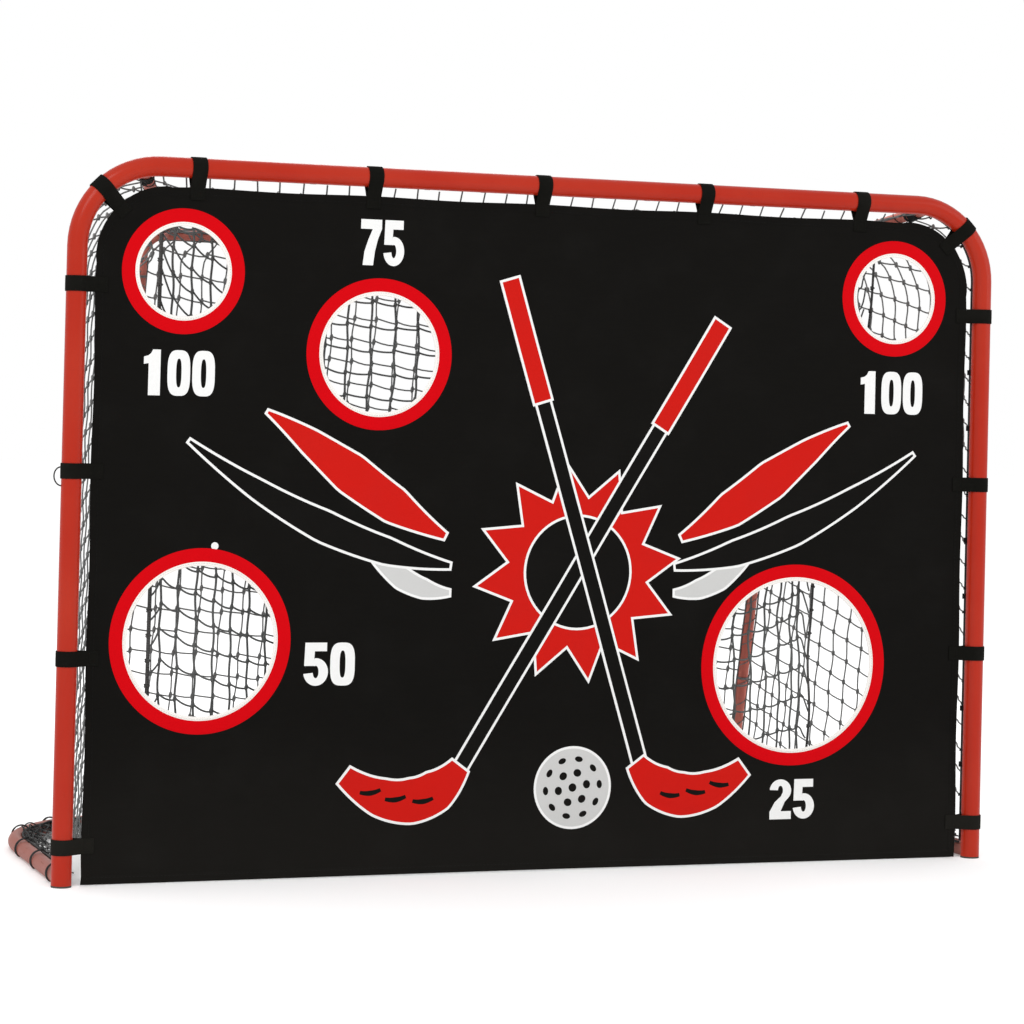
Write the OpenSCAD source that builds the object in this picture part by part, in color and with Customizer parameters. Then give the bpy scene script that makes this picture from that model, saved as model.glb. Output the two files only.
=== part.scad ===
// Floor-goal with a hanging target sheet: a bent tube goal frame, a net over
// its roof, back and sides, a second net that hangs inside it, and a stretched
// sheet with five ringed holes strapped into the goal mouth.
// Millimetres, +Z up, the goal mouth faces -Y, the floor is z = 0.

/* [Front hoop] */
// Width of the front hoop over its posts
hoop_w = 1667; // [1300:1:2000]
// Height of the front hoop over its crossbar
hoop_h = 1174.5; // [900:0.5:1400]
// Outside diameter of the front hoop's tube
hoop_od = 33; // [26:0.5:42]
// Wall of the front hoop's tube
hoop_wall = 1.5; // [1:0.1:2.5]
// Outside radius of the hoop's two top corners
hoop_corner_r = 150; // [90:1:220]
// Height of the plug's foot under each post
plug_h = 3; // [2:0.5:8]
// Length of the plug's spigot inside the post
plug_spigot = 26; // [10:1:60]
// Clearance between the spigot and the inside of the post
plug_fit = 0.3; // [0.1:0.05:0.6]

/* [Base hoop] */
// Depth from the middle of the posts to the back of the base hoop
base_depth = 640; // [520:1:800]
// Outside diameter of the base hoop's tube
base_od = 27; // [20:0.5:33]
// Wall of the base hoop's tube
base_wall = 1.5; // [1:0.1:2.5]
// Outside radius of the base hoop's two rear corners
base_corner_r = 273; // [200:1:320]

/* [Rear hoop] */
// How far in from the posts' middles the rear hoop's legs stand
leg_inset = 195; // [170:1:240]
// Depth from the middle of the crossbar to the middle of the top rear bar
rear_top_depth = 385; // [300:1:480]
// How far the middle of the top rear bar lies under the front hoop's top
rear_top_drop = 103.5; // [64.5:0.5:300]
// Outside diameter of the rear hoop's tube and of the roof arms
rear_od = 20; // [16:0.5:25]
// Wall of the rear hoop's tube and of the roof arms
rear_wall = 1.2; // [0.8:0.1:2]
// Outside radius of the rear hoop's top corners
rear_corner_r = 50; // [35:1:80]
// How far in from the posts' middles the roof arms meet the front hoop
arm_inset = 105; // [85:1:130]
// How far in from the rear legs' middles the roof arms meet the top rear bar
arm_rear_inset = 37; // [32:1:120]

/* [Target sheet] */
// Thickness of the coated cloth
sheet_t = 1; // [0.6:0.1:2]
// Gap between the sheet and the tube at the sides
sheet_side_gap = 14.5; // [8:0.5:30]
// Gap between the sheet and the crossbar
sheet_top_gap = 15.5; // [8:0.5:30]
// Height of the sheet's lower edge over the floor
sheet_floor_gap = 8; // [3:1:30]
// Radius of the sheet's two top corners
sheet_corner_r = 118; // [60:1:160]
// Width of the red ring printed band around each hole
ring_w = 22; // [12:1:35]
// Width of the white binding inside each red ring
binding_w = 8; // [5:0.5:14]
// How far the ring stands proud of the sheet
ring_t = 0.6; // [0.3:0.1:1.2]
// How far the binding stands proud of the sheet, on each face
binding_t = 1; // [0.5:0.1:2]

/* [Holes] */
// Outside radius of the binding of each upper corner hole
hole_corner_r = 80; // [60:1:95]
// Distance of each upper corner hole from the sheet's side edge
hole_corner_side = 144; // [132:0.5:170]
// Distance of each upper corner hole from the sheet's top edge
hole_corner_top = 136; // [128:1:156]
// Outside radius of the binding of the upper inner hole
hole_high_r = 104; // [80:1:115]
// Distance of the upper inner hole from the sheet's left edge
hole_high_side = 480; // [445:0.5:515]
// Distance of the upper inner hole from the sheet's top edge
hole_high_top = 261; // [236:1:286]
// Outside radius of the binding of the lower left hole
hole_left_r = 129; // [100:1:140]
// Distance of the lower left hole from the sheet's left edge
hole_left_side = 187; // [170:0.5:216]
// Height of the lower left hole
hole_left_z = 391; // [360:1:420]
// Outside radius of the binding of the lower right hole
hole_right_r = 153; // [120:1:165]
// Distance of the lower right hole from the sheet's right edge
hole_right_side = 323; // [285:0.5:356]
// Height of the lower right hole
hole_right_z = 345; // [320:1:370]

/* [Straps] */
// Width of the hook-and-loop straps
strap_w = 25; // [18:1:32]
// Thickness of the straps
strap_t = 1.4; // [1:0.1:2]
// Length of the strap that lies behind the sheet
strap_lap = 40; // [25:1:60]
// Number of straps along the crossbar
strap_top_n = 5; // [3:1:5]
// Distance of the leftmost crossbar strap from the hoop's left bend
strap_top_left = 61.5; // [20:0.5:120]
// Distance of the rightmost crossbar strap from the hoop's right bend
strap_top_right = 111.5; // [20:0.5:160]
// Number of straps on each post
strap_side_n = 4; // [2:1:4]
// Distance of the highest strap on each post from the hoop's bend
strap_high_gap = 60.5; // [20:0.5:120]
// Height of the lowest strap
strap_low_z = 64; // [45:1:100]
// How much further in the two corner straps reach
strap_corner_drop = 6; // [0:1:12]

/* [Nets] */
// Thickness of the net, knots included
net_t = 2; // [1.5:0.1:4]
// Openings of the coarse grid across the back net
grid_back_n = 12; // [6:1:12]
// Openings of the coarse grid from the front to the back of each side net
grid_side_n = 6; // [3:1:8]
// Openings of the coarse grid from the floor to the top of the back and side nets
grid_high_n = 11; // [6:1:12]
// Width of the strands between the coarse openings
grid_bar = 8; // [5:1:14]
// Width of the band left along the edges of the coarse grid
grid_edge = 14; // [10:1:30]
// Diameter of the net's edge ropes
edge_rope_d = 5; // [4:0.5:7]
// Diameter of the cord of the ties
tie_d = 3.5; // [2:0.5:5]
// Height of the side nets' lower layer over the floor
net_floor_gap = 7; // [3:1:12]
// Distance between ties along the tubes, at most
tie_pitch = 200; // [120:5:300]
// Distance of the first tie from the end of its tube
tie_end = 50; // [40:1:80]
// Length of each net hook along the tube
hook_l = 9; // [5:1:16]
// Wall of each net hook around its rope
hook_wall = 2; // [1.5:0.1:3]

/* [Hanging net] */
// Depth from the middle of the crossbar to the hanging net
catch_depth = 120; // [100:1:140]
// How far the hanging net's top rope lies under the front hoop's top
catch_top_drop = 94.5; // [85:0.5:150]
// Diameter of the hanging net's three border ropes
catch_rope_d = 8; // [6:0.5:10]
// Distance from the left post's middle to the top rope's left end
catch_left_top_in = 165; // [142:1:217]
// Distance from the left post's middle to the hanging net's left edge at the floor
catch_left_low_in = 167; // [152:1:217]
// Distance from the right post's middle to the top rope's right end
catch_right_top_in = 155; // [142:1:217]
// Distance from the right post's middle to the net's right edge where its gather begins
catch_right_high_in = 163; // [152:1:217]
// How far the gather begins under the top rope
catch_high_drop = 180; // [80:1:280]
// Distance from the right post's middle to the net's right edge under its gather
catch_right_low_in = 259; // [217:1:297]
// Height at which the gather ends
catch_low_z = 450; // [300:1:600]
// Height of the hanging net's lower edge over the floor
catch_floor_gap = 60; // [50:1:120]
// Number of hanger loops along the top rope
hanger_n = 9; // [5:1:13]
// Distance of the outermost hanger loops from the posts' middles
hanger_inset = 257; // [227:1:417]
// Diameter of the hanger loops' cord
hanger_d = 3; // [2:0.5:4]

/* [Clearances] */
// Gap between tubes that meet
joint_gap = 0.2; // [0.1:0.05:0.5]
// Gap between soft pieces and what carries them
soft_gap = 0.3; // [0.2:0.05:0.5]
// Running clearance of the top rope in its hanger loops
hanger_fit = 0.5; // [0.3:0.05:1]

/* [Hidden] */
$fn = 64;

red = [0.72, 0.20, 0.15];
faded = [0.60, 0.33, 0.29];
ring_red = [0.90, 0.03, 0.08];
white = [0.95, 0.95, 0.94];
black = [0.10, 0.10, 0.10];
cord_grey = [0.27, 0.29, 0.29];

// Radii and middle lines
hoop_r = hoop_od / 2;
base_r = base_od / 2;
rear_r = rear_od / 2;
hoop_mid_w = hoop_w - hoop_od;
hoop_mid_h = hoop_h - hoop_r;
hoop_bend = hoop_corner_r - hoop_r;
base_bend = base_corner_r - base_r;
base_mid_d = base_depth - base_r;
rear_bend = rear_corner_r - rear_r;
post_x = hoop_mid_w / 2;
leg_x = post_x - leg_inset;
bend_x = post_x - hoop_bend;
bend_z = hoop_mid_h - hoop_bend;

// The base hoop's corner, where the rear legs stand
base_bend_x = post_x - base_bend;
base_bend_y = base_mid_d - base_bend;
foot_dx = max(0, leg_x - base_bend_x);
foot_y = base_bend_y + sqrt(base_bend * base_bend - foot_dx * foot_dx);

// The rear hoop leans from its feet to the top rear bar
rear_top_h = hoop_h - rear_top_drop;
rear_rise = rear_top_h - base_r;
rear_run = foot_y - rear_top_depth;
rear_len = norm([rear_rise, rear_run]);
rear_lean = atan2(rear_run, rear_rise);

// Roof arms, and the slope of the roof between crossbar and top rear bar
arm_front_x = post_x - arm_inset;
arm_rear_x = leg_x - arm_rear_inset;
arm_dx = max(0, arm_front_x - bend_x);
arm_front_z = bend_z + sqrt(hoop_bend * hoop_bend - arm_dx * arm_dx);
arm_drop = arm_front_z - rear_top_h;
arm_vec = [arm_rear_x - arm_front_x, rear_top_depth, -arm_drop];
roof_slope = atan2(arm_drop, rear_top_depth);
roof_len = norm([rear_top_depth, arm_drop]);

// Ropes
edge_r = edge_rope_d / 2;
hook_off = hoop_r + hook_wall + edge_r + soft_gap;
hook_in = hook_off * sin(30);
hook_back = hook_off * cos(30);
hem_off = base_r + edge_r + soft_gap;
hem_in = hem_off * sin(45);
hem_bend = base_bend - hem_in;
leg_turn = 90 - asin(foot_dx / base_bend);
leg_clear = asin((rear_r + edge_r + soft_gap) / hem_bend);
rope_front = hook_back + edge_r + soft_gap;
tie_in = soft_gap;
tie_r = tie_d / 2;
base_tie_shift = (hem_off + edge_r - base_r) / 2;
base_tie_mid = (base_r + hem_off + edge_r) / 2 + tie_in + tie_r;
base_tie_out = base_tie_shift + base_tie_mid + tie_r;
base_tie_side = base_tie_shift * sin(45) + base_tie_mid + tie_r;
rear_tie_out = rear_r + tie_in + tie_d;
catch_r = catch_rope_d / 2;
hanger_r = hanger_d / 2;

// Sheet and holes: [x, z, outside radius of the binding]
sheet_half = post_x - hoop_r - sheet_side_gap;
sheet_top = hoop_h - hoop_od - sheet_top_gap;
hole_corner_x = sheet_half - hole_corner_side;
hole_corner_z = sheet_top - hole_corner_top;
holes = [[-hole_corner_x, hole_corner_z, hole_corner_r],
    [hole_corner_x, hole_corner_z, hole_corner_r],
    [hole_high_side - sheet_half, sheet_top - hole_high_top, hole_high_r],
    [hole_left_side - sheet_half, hole_left_z, hole_left_r],
    [sheet_half - hole_right_side, hole_right_z, hole_right_r]];

// Place of each strap along the crossbar, and the distance between the posts' straps
strap_top_pitch = (2 * bend_x - strap_top_left - strap_top_right) / (strap_top_n - 1);
function strap_top_x(k) = strap_top_left - bend_x + k * strap_top_pitch;
strap_side_pitch = (bend_z - strap_high_gap - strap_low_z) / (strap_side_n - 1);

// Front and back of the whole, which set its middle
front_y = -(hoop_r + soft_gap + strap_t);
back_y = base_mid_d + base_tie_mid + tie_r;
mid_y = (front_y + back_y) / 2;

// Places everything so that the middle of its footprint is the origin
module placed() { translate([0, -mid_y, 0]) children(); }

// A quarter ring of round section in the XZ plane: middle at the origin,
// from +X round to +Z
module quarter_ring(bend, d) {
    rotate([90, 0, 0]) rotate_extrude(angle = 90) translate([bend, 0]) circle(d = d);
}

// A solid upside-down U: legs along +Z from z = low, bends, and a bar on top
module solid_u(w, h, bend, d, low = 0) {
    for (s = [0, 1]) mirror([s, 0, 0]) {
        translate([w / 2, 0, low]) cylinder(d = d, h = h - bend - low);
        translate([w / 2 - bend, 0, h - bend]) quarter_ring(bend, d);
    }
    translate([-w / 2 + bend, 0, h]) rotate([0, 90, 0]) cylinder(d = d, h = w - 2 * bend);
}

// The same U as a tube, open at its feet
module tube_u(w, h, bend, d, wall, low = 0) {
    difference() {
        solid_u(w, h, bend, d, low);
        solid_u(w, h, bend, d - 2 * wall, low - 1);
    }
}

// The three hoops as solid bars, grown by an allowance, for cutting
module hoop_bar(grow = 0) { solid_u(hoop_mid_w, hoop_mid_h, hoop_bend, hoop_od + 2 * grow); }

module base_bar(grow = 0) {
    translate([0, 0, base_r]) rotate([-90, 0, 0])
        solid_u(hoop_mid_w, base_mid_d, base_bend, base_od + 2 * grow);
}

module rear_pose() { translate([0, foot_y, base_r]) rotate([rear_lean, 0, 0]) children(); }

module rear_bar(grow = 0) {
    rear_pose() solid_u(2 * leg_x, rear_len, rear_bend, rear_od + 2 * grow);
}

// Carries its children, drawn along +Z, onto the line from a to b
module along(a, b) {
    v = b - a;
    translate(a) rotate([0, acos(v[2] / norm(v)), atan2(v[1], v[0])]) children();
}

module arm_line(side) {
    along([side * arm_front_x, 0, arm_front_z],
        [side * arm_rear_x, rear_top_depth, rear_top_h]) children();
}

arm_len = norm(arm_vec);

// A loop of cord around a bar along Z
module tie(r_in) {
    rotate_extrude() translate([r_in + tie_r, 0]) circle(r = tie_r, $fn = 24);
}

// ---- frame ----

module front_hoop() {
    color(red) placed()
        tube_u(hoop_mid_w, hoop_mid_h, hoop_bend, hoop_od, hoop_wall, plug_h);
}

module foot_plugs() {
    color(black) placed() for (s = [-1, 1]) translate([s * post_x, 0, 0]) {
        cylinder(d = hoop_od, h = plug_h - joint_gap);
        cylinder(d = hoop_od - 2 * hoop_wall - 2 * plug_fit, h = plug_h + plug_spigot);
    }
}

module base_hoop() {
    color(faded) placed() difference() {
        translate([0, 0, base_r]) rotate([-90, 0, 0])
            tube_u(hoop_mid_w, base_mid_d, base_bend, base_od, base_wall);
        for (s = [-1, 1]) translate([s * post_x, 0, -1])
            cylinder(r = hoop_r + joint_gap, h = base_od + 2);
    }
}

module rear_hoop() {
    color(faded) placed() difference() {
        rear_pose() tube_u(2 * leg_x, rear_len, rear_bend, rear_od, rear_wall);
        base_bar(joint_gap);
    }
}

module roof_arm(side) {
    color(faded) placed() difference() {
        arm_line(side) difference() {
            cylinder(d = rear_od, h = arm_len);
            translate([0, 0, -1]) cylinder(d = rear_od - 2 * rear_wall, h = arm_len + 2);
        }
        hoop_bar(joint_gap);
        rear_bar(joint_gap);
    }
}

module arm_bars(grow) {
    for (s = [-1, 1]) arm_line(s) cylinder(d = rear_od + 2 * grow, h = arm_len);
}

// ---- outer net ----

// Lays its children, drawn in XY with +Y away from the crossbar, on the roof
module on_roof() { translate([0, 0, arm_front_z]) rotate([-roof_slope, 0, 0]) children(); }

roof_edge = rear_tie_out + soft_gap;
net_front = hook_back + edge_r + hook_wall + 3 * soft_gap;
roof_front = net_front / cos(roof_slope);

function arm_x(y) = arm_front_x + (arm_rear_x - arm_front_x) * y / roof_len;

// The arms run in towards the back, so the roof net keeps clear square to them
arm_turn = atan2(arm_front_x - arm_rear_x, roof_len);
roof_side = roof_edge / cos(arm_turn);

module net_roof() {
    far = roof_len - roof_edge;
    color(cord_grey) placed() on_roof() translate([0, 0, -net_t / 2]) linear_extrude(net_t)
        polygon([[-arm_x(roof_front) + roof_side, roof_front],
            [arm_x(roof_front) - roof_side, roof_front],
            [arm_x(far) - roof_side, far], [-arm_x(far) + roof_side, far]]);
}

// One opening of a coarse grid, between two shares of the width at its lower and
// upper heights: low and high are the grid's [left, right, height] there
module grid_cell(a, b, low, high) {
    function at(share, line) = line[0] + (line[1] - line[0]) * share;
    polygon([[at(a, low) + grid_bar / 2, low[2]], [at(b, low) - grid_bar / 2, low[2]],
        [at(b, high) - grid_bar / 2, high[2]], [at(a, high) + grid_bar / 2, high[2]]]);
}

// The mesh of the nets is cut as a coarse grid of openings, n across and
// grid_high_n high, between the lower and the upper [left, right, height]
module grid(n, low, high) {
    function at(share) = low + (high - low) * share;
    step = 1 / grid_high_n;
    bar = grid_bar / 2 / (high[2] - low[2]);
    for (j = [0 : grid_high_n - 1], i = [0 : n - 1])
        grid_cell(i / n, (i + 1) / n, at(j * step + bar), at((j + 1) * step - bar));
}

module net_back() {
    low = (base_tie_out + soft_gap) / cos(rear_lean);
    half = leg_x - rear_tie_out - soft_gap;
    high = rear_len - rear_tie_out - soft_gap;
    notch = rear_bend;
    inner = half - grid_edge;
    color(cord_grey) placed() rear_pose() translate([0, net_t / 2, 0]) rotate([90, 0, 0])
        linear_extrude(net_t) difference() {
            polygon([[-half, low], [half, low], [half, high - notch],
                [half - notch, high], [-half + notch, high], [-half, high - notch]]);
            grid(grid_back_n, [-inner, inner, low + grid_edge], [-inner, inner, high - notch]);
        }
}

// Corners of one side net: the foot and shoulder of the post, the hoop's bend,
// the front and back of the roof arm, and the foot of the rear leg
skirt_off = base_tie_side + soft_gap + net_t / 2;
side_off = rear_tie_out + soft_gap + net_t;
side_bend = hoop_bend - hook_in;
side_a = [post_x - skirt_off, net_front, net_floor_gap];
side_b = [post_x - hook_in, net_front, bend_z];
side_m = [bend_x + side_bend * cos(50), net_front, bend_z + side_bend * sin(50)];
side_c = [arm_front_x + 6, net_front + side_off, arm_front_z - side_off];
side_d = [leg_x + 4, rear_top_depth - side_off * 1.5, rear_top_h - side_off * 1.2];
side_e = [leg_x + 8, foot_y - side_off * 1.2, net_floor_gap];

// The foot of the side net lies out flat to the base hoop
skirt_bend = base_bend - skirt_off;
skirt_end = leg_turn - leg_clear - 4;
skirt_n = 6;

side_foot = [for (k = [0 : skirt_n]) let (turn = k * skirt_end / skirt_n)
    [base_bend_x + skirt_bend * cos(turn), base_bend_y + skirt_bend * sin(turn), net_floor_gap]];
side_points = concat([side_a, side_b, side_m, side_c, side_d, side_e], side_foot);

// Outward normal of the triangle a, b, c, and the same length for a sum of them
function face_normal(a, b, c) = cross(b - a, c - a) / norm(cross(b - a, c - a));
function unit(v) = v / norm(v);

// Outward directions of the points: the wall's own, up on the foot, and both
// where the wall folds into the foot
side_abe = -face_normal(side_a, side_b, side_e);
side_bde = -face_normal(side_b, side_d, side_e);
side_bcd = -face_normal(side_b, side_c, side_d);
side_bmc = -face_normal(side_b, side_m, side_c);
side_out = concat([side_abe + [0, 0, 1], unit(side_abe + side_bde + side_bcd + side_bmc),
    side_bmc, unit(side_bcd + side_bmc), unit(side_bde + side_bcd),
    unit(side_abe + side_bde) + [0, 0, 1]], [for (k = [0 : skirt_n]) [0, 0, 1]]);
side_faces = concat([[0, 1, 5], [1, 4, 5], [1, 3, 4], [1, 2, 3], [0, 5, 6 + skirt_n]],
    [for (k = [0 : skirt_n - 1]) [0, 7 + k, 6 + k]]);
side_rim = concat([0, 1, 2, 3, 4, 5], [for (k = [skirt_n : -1 : 0]) 6 + k]);

// A thin closed sheet over those points: an outer layer, an inner layer and a rim
module side_sheet() {
    n = len(side_points);
    m = len(side_rim);
    polyhedron(
        points = concat([for (k = [0 : n - 1]) side_points[k] + side_out[k] * net_t / 2],
            [for (k = [0 : n - 1]) side_points[k] - side_out[k] * net_t / 2]),
        faces = concat(side_faces, [for (f = side_faces) [f[2] + n, f[1] + n, f[0] + n]],
            [for (k = [0 : m - 1]) let (i = side_rim[k], j = side_rim[(k + 1) % m])
                each [[j, i, i + n], [j, i + n, j + n]]]));
}

// Lays a drawing of depth against height on the side net's wall
module on_wall() {
    translate([side_d[0] - 60, 0, 0]) rotate([90, 0, 90])
        linear_extrude(post_x - side_d[0] + 80) children();
}

// The wall's grid runs from the mouth rope to the rear edge, which leans
module net_side() {
    low = net_floor_gap + grid_edge;
    high = side_d[2] - grid_edge;
    function rear(z) = side_e[1] + (side_d[1] - side_e[1]) * (z - side_e[2]) / (side_d[2] - side_e[2]);
    color(cord_grey) placed() difference() {
        side_sheet();
        on_wall() grid(grid_side_n, [side_c[1], rear(low) - grid_edge, low],
            [side_c[1], rear(high) - grid_edge, high]);
    }
}

module net_mouth_rope() {
    color(cord_grey) placed() difference() {
        translate([0, hook_back, 0]) solid_u(hoop_mid_w - 2 * hook_in, hoop_mid_h - hook_in,
            side_bend, edge_rope_d, base_od + soft_gap);
        arm_bars(soft_gap);
    }
}

// The hem rope lies along the inner top of the base hoop's sides, stops at the
// two rear legs, and lies on top of the base hoop between them
module net_hem_rope_side(side) {
    color(cord_grey) placed() translate([0, 0, base_r + hem_in])
        rotate([0, side > 0 ? 0 : 180, 0]) {
            translate([post_x - hem_in, rope_front, 0]) rotate([-90, 0, 0])
                cylinder(d = edge_rope_d, h = base_bend_y - rope_front);
            translate([base_bend_x, base_bend_y, 0]) rotate_extrude(angle = leg_turn - leg_clear)
                translate([hem_bend, 0]) circle(d = edge_rope_d);
        }
}

module net_hem_rope_back() {
    half = leg_x - rear_r - edge_r - soft_gap;
    color(cord_grey) placed() translate([-half, base_mid_d, base_r + hem_off])
        rotate([0, 90, 0]) cylinder(d = edge_rope_d, h = 2 * half);
}

// One hook: an eye around the mouth rope on a foot that fits the tube,
// drawn along Z with the tube's middle at the origin
module net_hook() {
    linear_extrude(hook_l, center = true) difference() {
        union() {
            translate([hook_off, 0]) circle(r = edge_r + hook_wall + soft_gap);
            translate([0, -edge_r]) square([hook_off, edge_rope_d]);
        }
        translate([hook_off, 0]) circle(r = edge_r + soft_gap);
        circle(r = hoop_r + soft_gap);
    }
}

// The hooks sit at the thirds of each space between two straps
module net_hooks() {
    color(black) placed() {
        for (s = [0, 1], k = [0 : strap_side_n - 2], f = [1 / 3, 2 / 3]) mirror([s, 0, 0])
            translate([post_x, 0, strap_low_z + (k + f) * strap_side_pitch])
                rotate([0, 0, 120]) net_hook();
        for (k = [0 : strap_top_n - 2], f = [1 / 3, 2 / 3])
            translate([strap_top_x(k + f), 0, hoop_mid_h])
                rotate([0, 90, 0]) rotate([0, 0, 60]) net_hook();
    }
}

// ---- ties ----

base_side_n = ceil((base_bend_y - 2 * tie_end) / tie_pitch);
base_back_half = leg_x - tie_end;
base_back_n = ceil(2 * base_back_half / tie_pitch);
leg_tie_low = base_od + tie_end;
leg_tie_high = rear_len - rear_corner_r - tie_end / 2;
leg_tie_n = ceil((leg_tie_high - leg_tie_low) / tie_pitch);
bar_tie_half = leg_x - rear_corner_r - tie_end;
bar_tie_n = ceil(2 * bar_tie_half / tie_pitch);

// A loop around the base hoop and its hem rope, which lies towards +X. The loop
// is open under the tube, at the angle down, where the tube lies on the floor
module base_tie(down, height) {
    open = acos(height / (base_tie_mid + tie_r)) + 2;
    translate([base_tie_shift, 0, 0]) rotate([0, 0, down + open])
        rotate_extrude(angle = 360 - 2 * open) translate([base_tie_mid, 0])
            circle(r = tie_r, $fn = 24);
}

module side_tie() {
    rotate([-90, 0, 0]) rotate([0, 0, -135]) base_tie(225, base_r + base_tie_shift * sin(45));
}

module base_ties() {
    color(cord_grey) placed() {
        for (s = [0, 1], k = [0 : base_side_n]) mirror([s, 0, 0])
            translate([post_x, tie_end + k * (base_bend_y - 2 * tie_end) / base_side_n, base_r])
                side_tie();
        for (s = [0, 1], a = [25, 50]) mirror([s, 0, 0])
            translate([base_bend_x, base_bend_y, base_r]) rotate([0, 0, a])
                translate([base_bend, 0, 0]) side_tie();
        for (k = [0 : base_back_n])
            translate([-base_back_half + k * 2 * base_back_half / base_back_n, base_mid_d, base_r])
                rotate([0, 90, 0]) rotate([0, 0, 180])
                    base_tie(180, base_r + base_tie_shift);
    }
}

module rear_ties() {
    color(cord_grey) placed() rear_pose() {
        for (s = [-1, 1], k = [0 : leg_tie_n])
            translate([s * leg_x, 0, leg_tie_low + k * (leg_tie_high - leg_tie_low) / leg_tie_n])
                tie(rear_r + tie_in);
        for (k = [0 : bar_tie_n])
            translate([-bar_tie_half + k * 2 * bar_tie_half / bar_tie_n, 0, rear_len])
                rotate([0, 90, 0]) tie(rear_r + tie_in);
    }
}

module arm_ties() {
    color(cord_grey) placed() for (s = [-1, 1], f = [0.14, 0.5, 0.86])
        arm_line(s) translate([0, 0, arm_len * f]) tie(rear_r + tie_in);
}

// ---- hanging net ----

catch_top_h = hoop_h - catch_top_drop;
catch_left_top = catch_left_top_in - post_x;
catch_right_top = post_x - catch_right_top_in;
hanger_half = post_x - hanger_inset;
roof_z_at_catch = arm_front_z - catch_depth * tan(roof_slope);
hanger_in = catch_r + hanger_fit;
hanger_top = roof_z_at_catch - (net_t / 2 + soft_gap) / cos(roof_slope)
    - (hanger_in + hanger_d) * (1 / cos(roof_slope) - 1) - 0.4;
hanger_stretch = hanger_top - catch_top_h - hanger_in - hanger_d;

module hanger_loops() {
    color(cord_grey) placed() for (k = [0 : hanger_n - 1])
        translate([-hanger_half + k * 2 * hanger_half / (hanger_n - 1), catch_depth, catch_top_h])
            rotate([0, -90, 0]) hanger();
}

// One long loop of cord around the top rope, stretched towards +X
module hanger() {
    mid = hanger_in + hanger_r;
    rotate([0, 0, 90]) rotate_extrude(angle = 180) translate([mid, 0])
        circle(r = hanger_r, $fn = 24);
    translate([hanger_stretch, 0, 0]) rotate([0, 0, -90]) rotate_extrude(angle = 180)
        translate([mid, 0]) circle(r = hanger_r, $fn = 24);
    for (s = [-1, 1]) translate([0, s * mid, 0]) rotate([0, 90, 0])
        cylinder(r = hanger_r, h = hanger_stretch, $fn = 24);
}

// The hanging net hangs this far under the middle of its top rope
catch_hang = hanger_in + hanger_d + soft_gap;
catch_top_z = catch_top_h - catch_hang;

// The two side edges, as lines of [height, x]
catch_high_z = catch_top_h - catch_high_drop;
catch_right_low = post_x - catch_right_low_in;
catch_left_line = [[0, catch_left_low_in - post_x], [catch_top_h, catch_left_top]];
catch_right_line = [[0, catch_right_low], [catch_low_z, catch_right_low],
    [catch_high_z, post_x - catch_right_high_in], [catch_top_h, catch_right_top]];

module catch_net() {
    side = catch_r + soft_gap + 0.5;
    heights = [catch_floor_gap, catch_low_z, catch_high_z, catch_top_z];
    color(cord_grey) placed() translate([0, catch_depth + net_t / 2, 0]) rotate([90, 0, 0])
        linear_extrude(net_t) polygon(concat(
            [for (z = heights) [lookup(z, catch_right_line) - side, z]],
            [for (k = [3 : -1 : 0]) [lookup(heights[k], catch_left_line) + side, heights[k]]]));
}

module catch_rope_top() {
    color(cord_grey) placed() translate([catch_left_top, catch_depth, catch_top_h])
        rotate([0, 90, 0]) cylinder(r = catch_r, h = catch_right_top - catch_left_top);
}

// A border rope through points on the net's edge line, at the given heights
module catch_rope_side(line, heights) {
    function point(z) = [lookup(z, line), catch_depth, z];
    color(cord_grey) placed() {
        for (k = [0 : len(heights) - 2])
            along(point(heights[k]), point(heights[k + 1]))
                cylinder(r = catch_r, h = norm(point(heights[k + 1]) - point(heights[k])));
        if (len(heights) > 2) for (k = [1 : len(heights) - 2])
            translate(point(heights[k])) sphere(r = catch_r + soft_gap);
    }
}

catch_rope_end = catch_top_h - catch_r - soft_gap;

// ---- target sheet ----

// Lays a drawing of the goal mouth, with Y up, on the sheet's front face
module on_sheet(front, back) {
    translate([0, back, 0]) rotate([90, 0, 0]) linear_extrude(back - front) children();
}

module sheet_outline() {
    r = sheet_corner_r;
    difference() {
        translate([-sheet_half, sheet_floor_gap])
            square([2 * sheet_half, sheet_top - sheet_floor_gap]);
        for (s = [0, 1]) mirror([s, 0]) translate([sheet_half - r, sheet_top - r])
            difference() {
                square(r + 1);
                circle(r = r, $fn = 96);
            }
    }
}

module target_sheet() {
    color(black) placed() on_sheet(-sheet_t / 2, sheet_t / 2) difference() {
        sheet_outline();
        for (h = holes) translate([h[0], h[1]]) circle(r = h[2] - binding_w / 2, $fn = 96);
    }
}

// Flat band around a hole, on the sheet's front face
module ring(h) {
    color(ring_red) placed() on_sheet(-sheet_t / 2 - ring_t, -sheet_t / 2)
        translate([h[0], h[1]]) difference() {
            circle(r = h[2] + ring_w, $fn = 96);
            circle(r = h[2] + joint_gap, $fn = 96);
        }
}

// Folded tape that wraps the edge of a hole on both faces
module binding(h) {
    out = h[2];
    inn = h[2] - binding_w;
    color(white) placed() translate([h[0], 0, h[1]]) rotate([90, 0, 0]) rotate_extrude($fn = 96)
        polygon([[inn, -sheet_t / 2 - binding_t], [out, -sheet_t / 2 - binding_t],
            [out, -sheet_t / 2 - 0.05], [out - binding_w / 2 - 0.2, -sheet_t / 2 - 0.05],
            [out - binding_w / 2 - 0.2, sheet_t / 2 + 0.05], [out, sheet_t / 2 + 0.05],
            [out, sheet_t / 2 + binding_t], [inn, sheet_t / 2 + binding_t]]);
}

// ---- straps ----

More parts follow.
